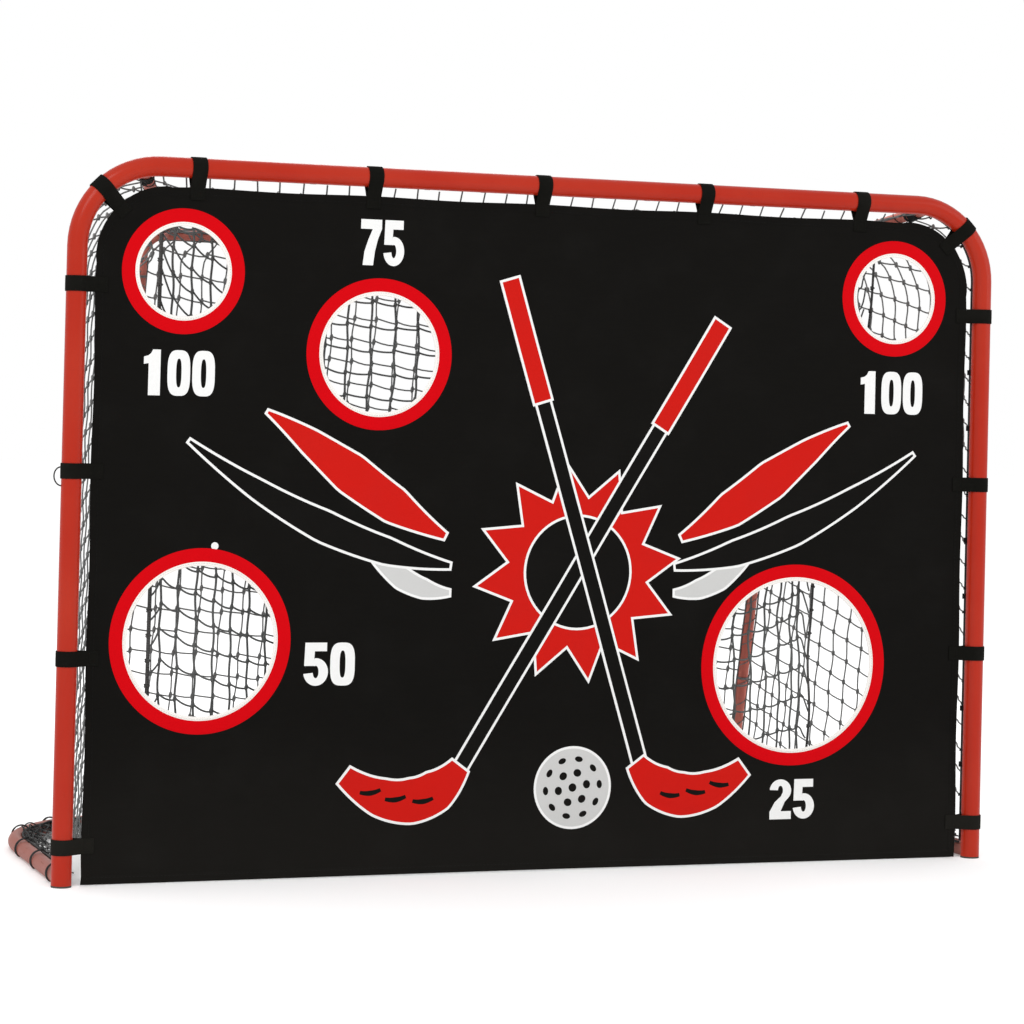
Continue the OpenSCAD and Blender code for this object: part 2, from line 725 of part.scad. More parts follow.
// One strap, drawn along Z with the tube's middle at the origin: a loop
// around the tube and a tail towards +X that lies behind the sheet (+Y)
module strap(reach) {
    r = hoop_r + soft_gap;
    back = sheet_t / 2 + 0.1;
    linear_extrude(strap_w, center = true) difference() {
        union() {
            circle(r = r + strap_t);
            translate([0, back]) square([reach + strap_lap, strap_t]);
        }
        circle(r = r);
    }
}

side_reach = hoop_r + sheet_side_gap;
top_reach = hoop_r + sheet_top_gap;
corner_reach = side_reach + strap_corner_drop;

module straps_top() {
    color(black) placed() for (k = [0 : strap_top_n - 1])
        translate([strap_top_x(k), 0, hoop_mid_h]) rotate([0, 90, 0]) strap(top_reach);
}

// A strap on the hoop's bend, drawn about the bend's middle with the tube at +X:
// its loop follows the bend, and its tail runs in behind the sheet (-Z)
module strap_on_bend(reach) {
    r = hoop_r + soft_gap;
    back = sheet_t / 2 + 0.1;
    half = asin(strap_w / 2 / hoop_bend);
    difference() {
        union() {
            rotate([0, 0, -half]) rotate_extrude(angle = 2 * half)
                translate([hoop_bend, 0]) circle(r = r + strap_t);
            translate([hoop_bend - reach - strap_lap, -strap_w / 2, -back - strap_t])
                cube([reach + strap_lap, strap_w, strap_t]);
        }
        rotate([0, 0, -half - 5]) rotate_extrude(angle = 2 * half + 10)
            translate([hoop_bend, 0]) circle(r = r);
    }
}

module straps_corner() {
    color(black) placed() for (s = [0, 1]) mirror([s, 0, 0])
        translate([bend_x, 0, bend_z]) rotate([0, -45, 0]) rotate([90, 0, 0])
            strap_on_bend(corner_reach);
}

module straps_side(side) {
    color(black) placed() for (k = [0 : strap_side_n - 1])
        translate([side * post_x, 0, strap_low_z + k * strap_side_pitch])
            mirror([side > 0 ? 1 : 0, 0, 0]) strap(side_reach);
}

front_hoop();
foot_plugs();
base_hoop();
rear_hoop();
roof_arm(-1);  // roof_arm_left
roof_arm(1);  // roof_arm_right
net_roof();
net_back();
mirror([1, 0, 0]) net_side();  // net_side_left
net_side();  // net_side_right
net_mouth_rope();
net_hem_rope_side(-1);  // net_hem_rope_left
net_hem_rope_side(1);  // net_hem_rope_right
net_hem_rope_back();
net_hooks();
base_ties();
rear_ties();
arm_ties();
hanger_loops();
catch_net();
catch_rope_top();
catch_rope_side(catch_left_line, [catch_floor_gap, catch_rope_end]);  // catch_rope_left
catch_rope_side(catch_right_line, [catch_floor_gap, catch_low_z, catch_high_z, catch_rope_end]);  // catch_rope_right
target_sheet();
ring(holes[0]);  // ring_corner_left
ring(holes[1]);  // ring_corner_right
ring(holes[2]);  // ring_high
ring(holes[3]);  // ring_low_left
ring(holes[4]);  // ring_low_right
binding(holes[0]);  // binding_corner_left
binding(holes[1]);  // binding_corner_right
binding(holes[2]);  // binding_high
binding(holes[3]);  // binding_low_left
binding(holes[4]);  // binding_low_right
straps_top();
straps_corner();
straps_side(-1);  // straps_left
straps_side(1);  // straps_right
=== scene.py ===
"""Dresses the floor goal: painted tubes, knotted nets, braided ropes and lashings,
hook-and-loop straps, and the stretched target sheet with its bound holes, red
rings and print. Sizes are in metres; the goal mouth faces -Y and +Z is up."""
import bpy
import numpy as np
from mathutils import Matrix, Vector
from mathutils.geometry import delaunay_2d_cdt


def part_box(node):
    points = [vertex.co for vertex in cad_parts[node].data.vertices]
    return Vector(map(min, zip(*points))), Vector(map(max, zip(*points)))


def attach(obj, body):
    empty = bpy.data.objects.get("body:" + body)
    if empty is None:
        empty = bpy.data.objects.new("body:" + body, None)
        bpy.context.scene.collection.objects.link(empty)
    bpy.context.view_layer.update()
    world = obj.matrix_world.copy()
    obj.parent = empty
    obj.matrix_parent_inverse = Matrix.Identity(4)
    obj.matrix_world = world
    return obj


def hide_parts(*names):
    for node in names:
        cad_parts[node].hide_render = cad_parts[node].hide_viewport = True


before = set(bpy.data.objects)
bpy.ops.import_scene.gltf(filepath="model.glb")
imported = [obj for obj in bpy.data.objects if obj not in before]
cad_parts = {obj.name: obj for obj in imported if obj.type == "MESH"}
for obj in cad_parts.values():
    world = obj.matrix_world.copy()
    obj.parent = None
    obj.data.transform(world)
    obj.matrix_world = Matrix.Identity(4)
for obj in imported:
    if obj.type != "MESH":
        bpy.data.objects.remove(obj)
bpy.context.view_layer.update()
hoop_low, hoop_high = (np.array(corner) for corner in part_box("front_hoop"))
MOUTH = np.array([0.0, (hoop_low[1] + hoop_high[1]) / 2, 0.0])   # middle of the posts

# ---- tubes: middles, radii and bends, from the middle of the posts ----
HOOP_R, HOOP_BEND = 0.0165, 0.1335
POST_X, BAR_Z = float(hoop_high[0]) - HOOP_R, float(hoop_high[2]) - HOOP_R
BEND_X, BEND_Z = POST_X - HOOP_BEND, BAR_Z - HOOP_BEND
BASE_R, BASE_BEND, BACK_Y = 0.0135, 0.2595, 0.6265
BASE_BEND_X, BASE_BEND_Y = POST_X - BASE_BEND, BACK_Y - BASE_BEND
REAR_R, LEG_X, REAR_Y, REAR_Z = 0.010, 0.622, 0.385, 1.071
FOOT, REAR_TOP = np.array([LEG_X, 0.61835, BASE_R]), np.array([LEG_X, REAR_Y, REAR_Z])
ARM_FRONT, ARM_REAR = np.array([0.712, 0.0, 1.15492]), np.array([0.585, REAR_Y, REAR_Z])
LEG_LEN = float(np.linalg.norm(REAR_TOP - FOOT))
LEG_UP = (REAR_TOP - FOOT) / LEG_LEN
LEG_OUT = np.array([0, LEG_UP[2], -LEG_UP[1]])       # square to the rear hoop, away from the mouth

# ---- cords: radii, then the places of the ropes ----
MESH_CORD, EDGE_CORD, EDGE_ROPE = 0.0014, 0.0016, 0.0019
CATCH_CORD, CATCH_ROW, CATCH_FOOT, CATCH_ROPE, GATHER_ROPE = 0.0020, 0.0016, 0.0018, 0.0034, 0.0022
TIE_CORD, LACING_CORD, HANGER_CORD, HITCH_CORD = 0.0012, 0.0009, 0.0014, 0.0018
ROPE_Y, ROPE_IN = 0.018446, 0.01065                  # the mouth rope behind and inside the hoop
ROPE_X, ROPE_TOP, ROPE_BEND = POST_X - ROPE_IN, BAR_Z - ROPE_IN, HOOP_BEND - ROPE_IN
HEM_IN, SKIRT_Y = 0.0115258, 0.030                   # the hem rope inside the base tube
BASE_STRAIGHT = BASE_BEND_Y - SKIRT_Y
HEM_TURN = np.radians(90 - 14.385) - np.arcsin(0.0128 / 0.24797)   # where the side's hem rope ends
WALL_FOOT, WALL_TURN = 0.046, np.radians(76.0)       # the side net's front edge: foot, and turn at its top
FLOOR_LINE = 0.0085                                  # height of the cords that lie along the floor
OFF_TUBE = 0.001                                     # the nets' edges lie this far off the tubes
CATCH_Y, CATCH_TOP, CATCH_RIM, CATCH_LOW = 0.120, 1.080, 1.0725, 0.060   # its top rope, top row and foot
HANGER_END, HANGER_PITCH = 0.560, 0.14               # x of the last hanger, and from one to the next
SIDE_TIES, BACK_TIES = (0.050, 0.1835, 0.317), np.linspace(-0.572, 0.572, 7)

# ---- sheet: hole name: (x, z, outside radius of its binding) ----
SHEET_HALF, SHEET_LOW, SHEET_TOP, SHEET_CORNER, SHEET_T = 0.786, 0.0025, 1.126, 0.118, 0.001
SIDE_GAP, TOP_GAP = 0.0145, 0.0155                   # from the tubes to the sheet
HOLES = {"corner_left": (-0.642, 0.990, 0.080), "corner_right": (0.642, 0.990, 0.080),
         "high": (-0.306, 0.865, 0.104), "low_left": (-0.599, 0.391, 0.129),
         "low_right": (0.463, 0.345, 0.153)}
RING_W, BINDING_W, RING_SKIN = 0.022, 0.0068, 0.0006
STITCH, STITCH_LIFT, STITCH_SHARE = 0.0003, 0.00025, 0.62   # a thread, its rise, its share of the spacing
STRAP_TOP_X = [-0.622, -0.3235, -0.025, 0.2735, 0.572]
STRAP_SIDE_Z = [0.064, 0.364, 0.664, 0.964]
STRAP_W, STRAP_T = 0.025, 0.0013
OUTLINE_W, EMBLEM, BALL = 0.0042, (0.055, 0.505), (0.055, 0.140)   # the print's white edge, and two middles


# ---- Meshes: a part is its points and lists of faces, each with the uv of its corners ----

def unit(v):
    """Vectors divided by their own length."""
    v = np.asarray(v, float)
    return v / np.maximum(np.linalg.norm(v, axis=-1, keepdims=True), 1e-12)


def ramp(x, a, b):
    """Rises smoothly from 0 at a to 1 at b: 3t^2 - 2t^3 of the share t of the way."""
    t = np.clip((x - a) / (b - a), 0, 1)
    return t * t * (3 - 2 * t)


def spots(*parts):
    """Points from their x, y and z, each an array or one number."""
    return np.stack(np.broadcast_arrays(*parts), -1)


def leftward(along):
    """Flat directions after a quarter turn to the left."""
    return np.stack([-along[:, 1], along[:, 0]], -1)


def run_of(path):
    """The length of a path from its start to each of its points."""
    return np.concatenate([[0], np.cumsum(np.linalg.norm(np.diff(path, axis=0), axis=1))])


def circle(x, z, r, n=120, start=0.0):
    """Points round a circle, or between circles where r has a value for each point."""
    turn = start + np.arange(n) * 2 * np.pi / n
    return np.stack([x + r * np.cos(turn), z + r * np.sin(turn)], -1)


def arc(cx, cz, rx, rz, a, b, n):
    """Points on an ellipse from angle a to angle b, in degrees."""
    turn = np.radians(np.linspace(a, b, n))
    return np.stack([cx + rx * np.cos(turn), cz + rz * np.sin(turn)], -1)


def flipped(faces):
    """Faces listed the other way round, each corner with its own uv."""
    return [(ids[:, ::-1], uv.reshape(len(ids), -1, 2)[:, ::-1].reshape(-1, 2)) for ids, uv in faces]


def mirrored(part):
    """The part on the other side of the goal: x changes sign and the faces turn round."""
    return part[0] * [-1, 1, 1], flipped(part[1])


def join(parts):
    """Several parts as one: the points end to end, the faces renumbered."""
    starts = np.cumsum([0] + [len(points) for points, faces in parts])
    return (np.concatenate([points for points, faces in parts]),
            [(ids + start, uv) for start, (points, faces) in zip(starts, parts) for ids, uv in faces])


def both_sides(part):
    """The part and its mirror image as one."""
    return join([part, mirrored(part)])


def outward(part):
    """The part with its faces turned outwards, judged by the sign of the volume they enclose."""
    points, faces = part
    volume = 0.0
    for ids, uv in faces:
        for k in range(1, ids.shape[1] - 1):
            a, b, c = points[ids[:, 0]], points[ids[:, k]], points[ids[:, k + 1]]
            volume += np.einsum("ij,ij->i", a, np.cross(b, c)).sum()
    return points, (flipped(faces) if volume < 0 else faces)


def carried(rings, uv, closed=True):
    """A skin over rings of points, ring by ring: a closed loop of rings, or with end caps."""
    m, k = rings.shape[:2]
    ids = np.arange(m * k).reshape(m, k)
    ahead = np.roll(ids, -1, 0)
    quads = np.stack([ids, ahead, np.roll(ahead, -1, 1), np.roll(ids, -1, 1)], -1)
    quads = (quads if closed else quads[:-1]).reshape(-1, 4)
    caps = [] if closed else [np.stack([ids[0, ::-1], ids[-1]])]
    uv = uv.reshape(-1, 2)
    return outward((rings.reshape(-1, 3), [(ids, uv[ids.ravel()]) for ids in [quads] + caps]))


def cords(paths, radius, sides=6, up=(0, 1, 0), closed=False):
    """Round cords along many paths of equal length at once. Each ring is a circle of
    the radius about its path point, square to the path. u runs round, v along in metres."""
    paths = np.asarray(paths, float)
    paths = paths[None] if paths.ndim == 2 else paths
    n, m = paths.shape[:2]
    along = unit(np.roll(paths, -1, 1) - np.roll(paths, 1, 1) if closed else np.gradient(paths, axis=1))
    side = unit(np.cross(along, np.broadcast_to(np.asarray(up, float), paths.shape)))
    top = np.cross(side, along)
    turn = np.arange(sides) * 2 * np.pi / sides
    ring = side[:, :, None] * np.cos(turn)[:, None] + top[:, :, None] * np.sin(turn)[:, None]
    radius = np.broadcast_to(radius, (n, m))
    points = (paths[:, :, None] + ring * radius[:, :, None, None]).reshape(-1, 3)
    ids = np.arange(n * m * sides).reshape(n, m, sides)
    ahead = np.roll(ids, -1, 1)
    step = np.linalg.norm(np.diff(paths, axis=1, append=paths[:, :1]), axis=2)
    far = np.cumsum(step, axis=1)
    u = np.broadcast_to(np.arange(sides) / sides, (n, m, sides))
    v0, v1 = (np.broadcast_to(v[:, :, None], (n, m, sides)) for v in (far - step, far))
    quads = np.stack([ids, ahead, np.roll(ahead, -1, 2), np.roll(ids, -1, 2)], -1)
    uv = np.stack([np.stack([u, v0], -1), np.stack([u, v1], -1),
                   np.stack([u + 1 / sides, v1], -1), np.stack([u + 1 / sides, v0], -1)], -2)
    if closed:
        return points, [(quads.reshape(-1, 4), uv.reshape(-1, 2))]
    caps = np.concatenate([ids[:, 0], ids[:, -1, ::-1]])
    return points, [(quads[:, :-1].reshape(-1, 4), uv[:, :-1].reshape(-1, 2)),
                    (caps, np.zeros((caps.size, 2)))]


def add_piece(name, part, finish, nodes=(), body="goal", sharp=40):
    """A named piece from a part in goal coordinates, moved to the model's own frame."""
    points, faces = part
    mesh = bpy.data.meshes.new(name)
    mesh.vertices.add(len(points))
    mesh.vertices.foreach_set("co", (points + MOUTH).astype(np.float32).ravel())
    corners = np.concatenate([ids.ravel() for ids, uv in faces]).astype(np.int32)
    counts = np.concatenate([np.full(len(ids), ids.shape[1]) for ids, uv in faces])
    mesh.loops.add(len(corners))
    mesh.loops.foreach_set("vertex_index", corners)
    mesh.polygons.add(len(counts))
    mesh.polygons.foreach_set("loop_start", (np.cumsum(counts) - counts).astype(np.int32))
    layer = mesh.uv_layers.new(name="UVMap")
    layer.data.foreach_set("uv", np.concatenate([uv for ids, uv in faces]).astype(np.float32).ravel())
    mesh.update(calc_edges=True)
    mesh.polygons.foreach_set("use_smooth", np.ones(len(counts), bool))
    mesh.validate()
    mesh.set_sharp_from_angle(angle=np.radians(sharp))
    mesh.materials.append(FINISHES[finish])
    piece = bpy.data.objects.new(name, mesh)
    bpy.context.scene.collection.objects.link(piece)
    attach(piece, body)
    if nodes:
        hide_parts(*nodes)
    return piece


def add_pair(name, part, finish, node=None):
    """The same piece on the goal's right and, mirrored, on its left."""
    for side, shape in (("right", part), ("left", mirrored(part))):
        add_piece(name + side, shape, finish, [node + side] if node else ())


def cloth(x, z):
    """Depth of the cloth's middle from the plane of the posts: slow waves of 2 or 3 mm that die
    out towards the stretched edges."""
    edge = np.minimum(SHEET_HALF - np.abs(x), np.minimum(z - SHEET_LOW, SHEET_TOP - z))
    wave = (0.0013 * np.sin(4.1 * x + 2.3 * z + 0.4) + 0.0011 * np.sin(6.7 * z - 3.1 * x + 1.1)
            + 0.0005 * np.sin(15 * x + 9 * z) + 0.0004 * np.sin(21 * z - 12 * x + 2))
    return wave * ramp(edge, 0.0, 0.16)


def on_cloth(flat, depth):
    """Places over or behind the sheet from their x and z, at a depth counted from its surface."""
    x, z = np.moveaxis(flat, -1, 0)
    return spots(x, cloth(x, z) + depth, z)


def in_shares(count, others, most=4000000):
    """The numbers up to count in shares small enough to hold against so many others at once."""
    return np.array_split(np.arange(count), max(1, count * others // most))


def inside(points, loops):
    """True where a point lies within an odd number of the closed outlines: the
    crossings of a ray towards +x are counted edge by edge."""
    a = np.concatenate(loops)
    b = np.concatenate([np.roll(loop, -1, 0) for loop in loops])
    odd = np.zeros(len(points), bool)
    for part in in_shares(len(points), len(a)):
        x, z = points[part, 0][:, None], points[part, 1][:, None]
        cross = (a[:, 1] > z) != (b[:, 1] > z)
        rise = np.where(np.abs(b[:, 1] - a[:, 1]) < 1e-12, 1e-12, b[:, 1] - a[:, 1])
        odd[part] = ((cross & (x < a[:, 0] + (z - a[:, 1]) * (b[:, 0] - a[:, 0]) / rise)).sum(1) % 2) == 1
    return odd


def filled(loops, spacing):
    """Points and triangles that fill closed outlines, by even and odd: the outlines'
    points and a staggered lattice inside them, joined by Delaunay's rule."""
    edge = np.concatenate(loops)
    low, high = edge.min(0), edge.max(0)
    gx, gz = np.meshgrid(np.arange(low[0], high[0], spacing), np.arange(low[1], high[1], spacing * 0.87))
    gx = gx + (np.arange(gx.shape[0]) % 2)[:, None] * spacing / 2
    lattice = np.stack([gx.ravel(), gz.ravel()], -1)
    lattice = lattice[inside(lattice, loops)]
    keep = np.ones(len(lattice), bool)
    for part in in_shares(len(lattice), len(edge)):
        gap = lattice[part][:, None] - edge[None]
        keep[part] = (gap ** 2).sum(-1).min(1) > (0.55 * spacing) ** 2 if len(part) else True
    points = np.concatenate([edge, lattice[keep]])
    starts = np.cumsum([0] + [len(loop) for loop in loops])
    edges = np.concatenate([np.stack([np.arange(a, b), np.roll(np.arange(a, b), -1)], -1)
                            for a, b in zip(starts[:-1], starts[1:])])
    out = delaunay_2d_cdt(list(map(Vector, points.tolist())), edges.tolist(), [], 0, 1e-7)
    points, tris = np.array([tuple(p) for p in out[0]]), np.array(out[2])
    return points, tris[inside(points[tris].mean(1), loops)]


def slab(loops, spacing, front, back):
    """A thin closed slab over closed outlines in the XZ plane, with its front and
    back at the given depths from the sheet's own surface."""
    flat, tris = filled(loops, spacing)
    n = len(flat)
    points = np.concatenate([on_cloth(flat, front), on_cloth(flat, back)])
    edges = np.concatenate([tris[:, [0, 1]], tris[:, [1, 2]], tris[:, [2, 0]]])
    rim = edges[~np.isin(edges @ [n, 1], edges @ [1, n])]
    quads = np.stack([rim[:, 1], rim[:, 0], rim[:, 0] + n, rim[:, 1] + n], -1)
    both = np.concatenate([tris, tris[:, ::-1] + n])
    return outward((points, [(ids, points[ids.ravel()][:, [0, 2]]) for ids in (both, quads)]))


def around_hole(profile, x, z, count=160):
    """A closed profile of [radius, depth] carried round a circle about (x, z), its
    depth counted from the sheet's own surface."""
    turn = np.arange(count)[:, None] * 2 * np.pi / count
    out, depth = np.asarray(profile, float).T
    rings = on_cloth(spots(x + out * np.cos(turn), z + out * np.sin(turn)), depth)
    return carried(rings, spots(turn / (2 * np.pi), out))


def band(path, across, width, thick, bulge):
    """A flat band along a path: a rounded strip of the width and thickness, carried
    so that its width lies along the direction across."""
    across = unit(across)
    face = unit(np.cross(unit(np.gradient(path, axis=0)), across))
    h, t = width / 2, thick / 2
    e, low = t * 0.8, t * 0.4
    strip = np.array([[-h, -low], [-h + e, -t], [0, -t - bulge], [h - e, -t], [h, -low],
                      [h, low], [h - e, t], [0, t + bulge], [-h + e, t], [-h, low]])
    rings = path[:, None] + across * strip[None, :, :1] + face[:, None] * strip[None, :, 1:]
    return carried(rings, spots(strip[:, 0], run_of(path)[:, None]), closed=False)


def dashes(starts, ends, radius, lift):
    """Stitches: short threads from each start to each end, arched towards the front by the
    lift times sin^0.6 of the way."""
    share = np.linspace(0, 1, 5)
    path = starts[:, None] + (ends - starts)[:, None] * share[None, :, None]
    path[..., 1] -= lift * np.sin(np.pi * share) ** 0.6
    return cords(path, radius * np.array([0.5, 1, 1, 1, 0.5]), 4, (0.02, 1, 0.03))


def wraps(centres, axis, spread, radius, cord, turns, start=0.0):
    """Loops of cord wound round bars: a helix of the given turns about each centre, along
    the bar's axis, with all its turns within the spread. The start is an angle."""
    centres = np.atleast_2d(centres)
    axis = np.broadcast_to(unit(np.atleast_2d(axis)), centres.shape)
    level = np.where(np.abs(axis[:, 2:]) > 0.9, [[1.0, 0, 0]], [[0, 0, 1.0]])
    a = unit(np.cross(axis, level))
    b = np.cross(axis, a)
    t = np.linspace(0, 1, int(14 * turns) + 1)
    turn = (start + t * turns * 2 * np.pi)[:, None]
    path = (centres[:, None] + (a[:, None] * np.cos(turn) + b[:, None] * np.sin(turn)) * radius
            + axis[:, None] * ((t - 0.5) * spread)[:, None])
    return cords(path, cord, 5, np.broadcast_to(axis[:, None], path.shape))


def knots(points, direction, length, radius):
    """Small fat spindles on a cord, along the given direction: under half the radius at the
    ends and a little more than all of it in the middle."""
    share = np.array([-0.5, -0.28, 0, 0.28, 0.5])
    path = points[:, None] + unit(direction) * (share * length)[:, None]
    return cords(path, radius * np.array([0.45, 0.92, 1.08, 0.92, 0.45]), 6, (0.31, 0.9, 0.17))


def lacing(a, b, toward, pitch=0.041, radius=REAR_R + 0.0014, shift=0.0006):
    """A lacing cord that winds round a bar from a to b, its turns shifted off the
    bar's middle towards the net so that they take in the net's edge."""
    a, b = np.asarray(a, float), np.asarray(b, float)
    length = np.linalg.norm(b - a)
    axis = (b - a) / length
    p = unit(np.asarray(toward, float) - axis * np.dot(toward, axis))
    q = np.cross(axis, p)
    t = np.linspace(0, 1, int(14 * length / pitch))[:, None]
    turn = t * length / pitch * 2 * np.pi
    wander = 0.0006 * np.sin(turn * 0.37 + 1.3)
    path = a + (b - a) * t + p * shift + (p * np.cos(turn) + q * np.sin(turn)) * (radius + wander)
    return cords(path[None], LACING_CORD, 5, np.broadcast_to(axis, path[None].shape))


# ---- Materials ----

def nodes_of(tree):
    """Short ways to add a node with its values or the sockets that feed it, and the few kinds
    of node that the groups are made of."""
    def add(kind, values=(), **settings):
        node = tree.nodes.new(kind)
        for key, value in settings.items():
            setattr(node, key, value)
        for key, value in dict(values).items():
            if isinstance(value, bpy.types.NodeSocket):
                tree.links.new(value, node.inputs[key])
            else:
                node.inputs[key].default_value = value
        return node

    def calc(how, a, b=0.0, c=0.0):
        return add("ShaderNodeMath", {0: a, 1: b, 2: c}, operation=how).outputs[0]

    def mix(share, a, b):
        return add("ShaderNodeMix", {0: share, 6: a, 7: b}, data_type="RGBA").outputs[2]

    def noise(where, scale, detail=3.0, rough=0.55):
        return add("ShaderNodeTexNoise", {"Vector": where, "Scale": scale, "Detail": detail,
                                          "Roughness": rough}).outputs["Fac"]

    def stretch(where, scale):
        return add("ShaderNodeMapping", {"Vector": where, "Scale": scale}).outputs[0]

    def step(value, a, b):
        return add("ShaderNodeMapRange", {0: value, 1: a, 2: b}, interpolation_type="SMOOTHSTEP").outputs[0]
    return add, calc, mix, noise, stretch, step


def full(value):
    """A colour of three numbers with its alpha of 1; any other value as it is."""
    return (*value, 1) if isinstance(value, tuple) else value


def group(name, takes):
    """A shader node group with its named inputs, and outputs for colour, roughness and relief."""
    tree = bpy.data.node_groups.new(name, "ShaderNodeTree")
    for label, value in takes.items():
        kind = "NodeSocketColor" if isinstance(value, tuple) else "NodeSocketFloat"
        tree.interface.new_socket(label, in_out="INPUT", socket_type=kind).default_value = full(value)
    for label, kind in (("Color", "Color"), ("Roughness", "Float"), ("Height", "Float")):
        tree.interface.new_socket(label, in_out="OUTPUT", socket_type="NodeSocket" + kind)
    give = tree.nodes.new("NodeGroupOutput").inputs

    def finish(color, roughness, height):
        for label, socket in (("Color", color), ("Roughness", roughness), ("Height", height)):
            tree.links.new(socket, give[label])
        return tree
    return tree.nodes.new("NodeGroupInput").outputs, finish, nodes_of(tree)


def worn_paint():
    """Painted tube: the paint fades in soft clouds and fine specks, and shows dull scuffs and
    fine scratches that run along and across."""
    take, finish, (add, calc, mix, noise, stretch, step) = group(
        "worn_paint", {"Paint": (0.5, 0.05, 0.03), "Faded": (0.6, 0.2, 0.15), "Scuff": (0.2, 0.1, 0.08),
                       "Fading": 0.5, "Scuffs": 0.5, "Gloss": 0.35})
    where = add("ShaderNodeTexCoord").outputs["Object"]
    cloud = step(noise(where, 5.0, 4), 0.35, 0.72)
    speck = step(noise(where, 900.0, 2), 0.45, 0.75)
    scuff = step(noise(where, 38.0, 5, 0.7), 0.62, 0.74)
    scratch = step(noise(stretch(where, (26.0, 26.0, 240.0)), 1.0, 2, 0.5), 0.70, 0.76)
    scratch2 = step(noise(stretch(where, (230.0, 30.0, 30.0)), 1.0, 2, 0.5), 0.71, 0.77)
    marks = calc("MULTIPLY", calc("MAXIMUM", scuff, calc("MAXIMUM", scratch, scratch2)), take["Scuffs"])
    base = mix(calc("MULTIPLY", cloud, take["Fading"]), take["Paint"], take["Faded"])
    base = mix(calc("MULTIPLY", speck, 0.10), base, take["Faded"])
    rough = calc("ADD", take["Gloss"], calc("MULTIPLY", marks, 0.3))
    return finish(mix(calc("MULTIPLY", marks, 0.55), base, take["Scuff"]),
                  calc("ADD", rough, calc("MULTIPLY", noise(where, 60.0, 3), 0.10)),
                  calc("SUBTRACT", calc("MULTIPLY", noise(where, 260.0, 2), 0.5),
                       calc("MULTIPLY", marks, 0.7)))


def braided_cord():
    """Braided cord: u runs round and v along, and two sets of slanting strands cross as the
    product of sin(2 pi (n u + v / pitch)) and sin(2 pi (n u - v / pitch)). The hollows between
    the strands are coloured darker: painted shade."""
    take, finish, (add, calc, mix, noise, stretch, step) = group(
        "braided_cord", {"Thread": (0.06, 0.07, 0.07), "HollowShade": (0.02, 0.02, 0.02), "Plaits": 3.0,
                         "Pitch": 0.005, "Bleach": 0.3})
    split = add("ShaderNodeSeparateXYZ", {0: add("ShaderNodeUVMap", uv_map="UVMap").outputs[0]}).outputs
    about, run = calc("MULTIPLY", split[0], take["Plaits"]), calc("DIVIDE", split[1], take["Pitch"])
    one, two = (calc("SINE", calc("MULTIPLY", calc(how, about, run), 2 * np.pi))
                for how in ("ADD", "SUBTRACT"))
    strands = calc("MULTIPLY_ADD", calc("MULTIPLY", one, two), 0.5, 0.5)
    where = add("ShaderNodeTexCoord").outputs["Object"]
    bleach = calc("MULTIPLY", step(noise(where, 6.0, 3), 0.3, 0.75), take["Bleach"])
    pale = mix(0.6, take["Thread"], (0.28, 0.26, 0.25, 1))
    fuzz = noise(where, 1500.0, 2)
    # the hollows between the strands are darkened towards the hollow colour: painted shade
    return finish(mix(bleach, mix(strands, take["HollowShade"], take["Thread"]), pale),
                  calc("MULTIPLY_ADD", fuzz, 0.2, 0.7), calc("ADD", strands, calc("MULTIPLY", fuzz, 0.35)))


def woven_cloth():
    """Plain weave seen from the front: threads across and up the piece, |sin| of x and z over
    the thread's pitch, with a slow change of tone where the coating is rubbed or dusty. The gaps
    between the threads are darkened: painted shade."""
    take, finish, (add, calc, mix, noise, stretch, step) = group(
        "woven_cloth", {"Cloth": (0.01, 0.01, 0.01), "Rubbed": (0.03, 0.03, 0.03), "Dust": (0.2, 0.18, 0.15),
                        "Pitch": 0.0011, "Rub": 0.5, "Dusty": 0.2, "Sheen": 0.6})
    where = add("ShaderNodeTexCoord").outputs["Object"]
    split = add("ShaderNodeSeparateXYZ", {0: where}).outputs
    turn = calc("DIVIDE", np.pi, take["Pitch"])
    wobble = calc("MULTIPLY", noise(where, 40.0, 2), 2.0)
    warp, weft = (calc("ABSOLUTE", calc("SINE", calc("MULTIPLY_ADD", split[k], turn, wobble))) for k in (0, 2))
    threads = calc("MULTIPLY", calc("ADD", warp, weft), 0.5)
    slub = noise(stretch(where, (30.0, 30.0, 420.0)), 1.0, 2)
    rub = calc("MULTIPLY", step(noise(where, 9.0, 5, 0.6), 0.42, 0.8), take["Rub"])
    tone = mix(rub, take["Cloth"], take["Rubbed"])
    # darker in the gaps between the threads: painted shade
    tone = mix(calc("MULTIPLY", step(threads, 0.15, 0.55), 0.6), mix(0.35, tone, (0, 0, 0, 1)), tone)
    low = step(split[2], 0.30, 0.0)
    fleck = step(noise(where, 210.0, 3, 0.7), 0.58, 0.8)
    settled = calc("ADD", calc("MULTIPLY", low, 0.5), calc("MULTIPLY", fleck, 0.35))
    dust = calc("MULTIPLY", settled, take["Dusty"])
    return finish(mix(dust, tone, take["Dust"]), calc("ADD", take["Sheen"], calc("MULTIPLY", slub, 0.18)),
                  calc("ADD", threads, calc("MULTIPLY", slub, 0.6)))


def finish_of(name, maker, values, bump, distance, shader):
    """A material that takes its colour, roughness and relief from one of the groups."""
    finish = bpy.data.materials.new(name)
    finish.use_nodes = True
    tree = finish.node_tree
    tree.nodes.clear()
    add = nodes_of(tree)[0]
    source = add("ShaderNodeGroup", node_tree=maker)
    for key, value in dict(values).items():
        source.inputs[key].default_value = full(value)
    relief = add("ShaderNodeBump", {"Strength": bump, "Distance": distance,
                                    "Height": source.outputs["Height"]})
    surface = add("ShaderNodeBsdfPrincipled", {"Base Color": source.outputs["Color"],
                                               "Roughness": source.outputs["Roughness"],
                                               "Normal": relief.outputs[0], **shader})
    tree.links.new(surface.outputs[0], add("ShaderNodeOutputMaterial").inputs[0])
    return finish


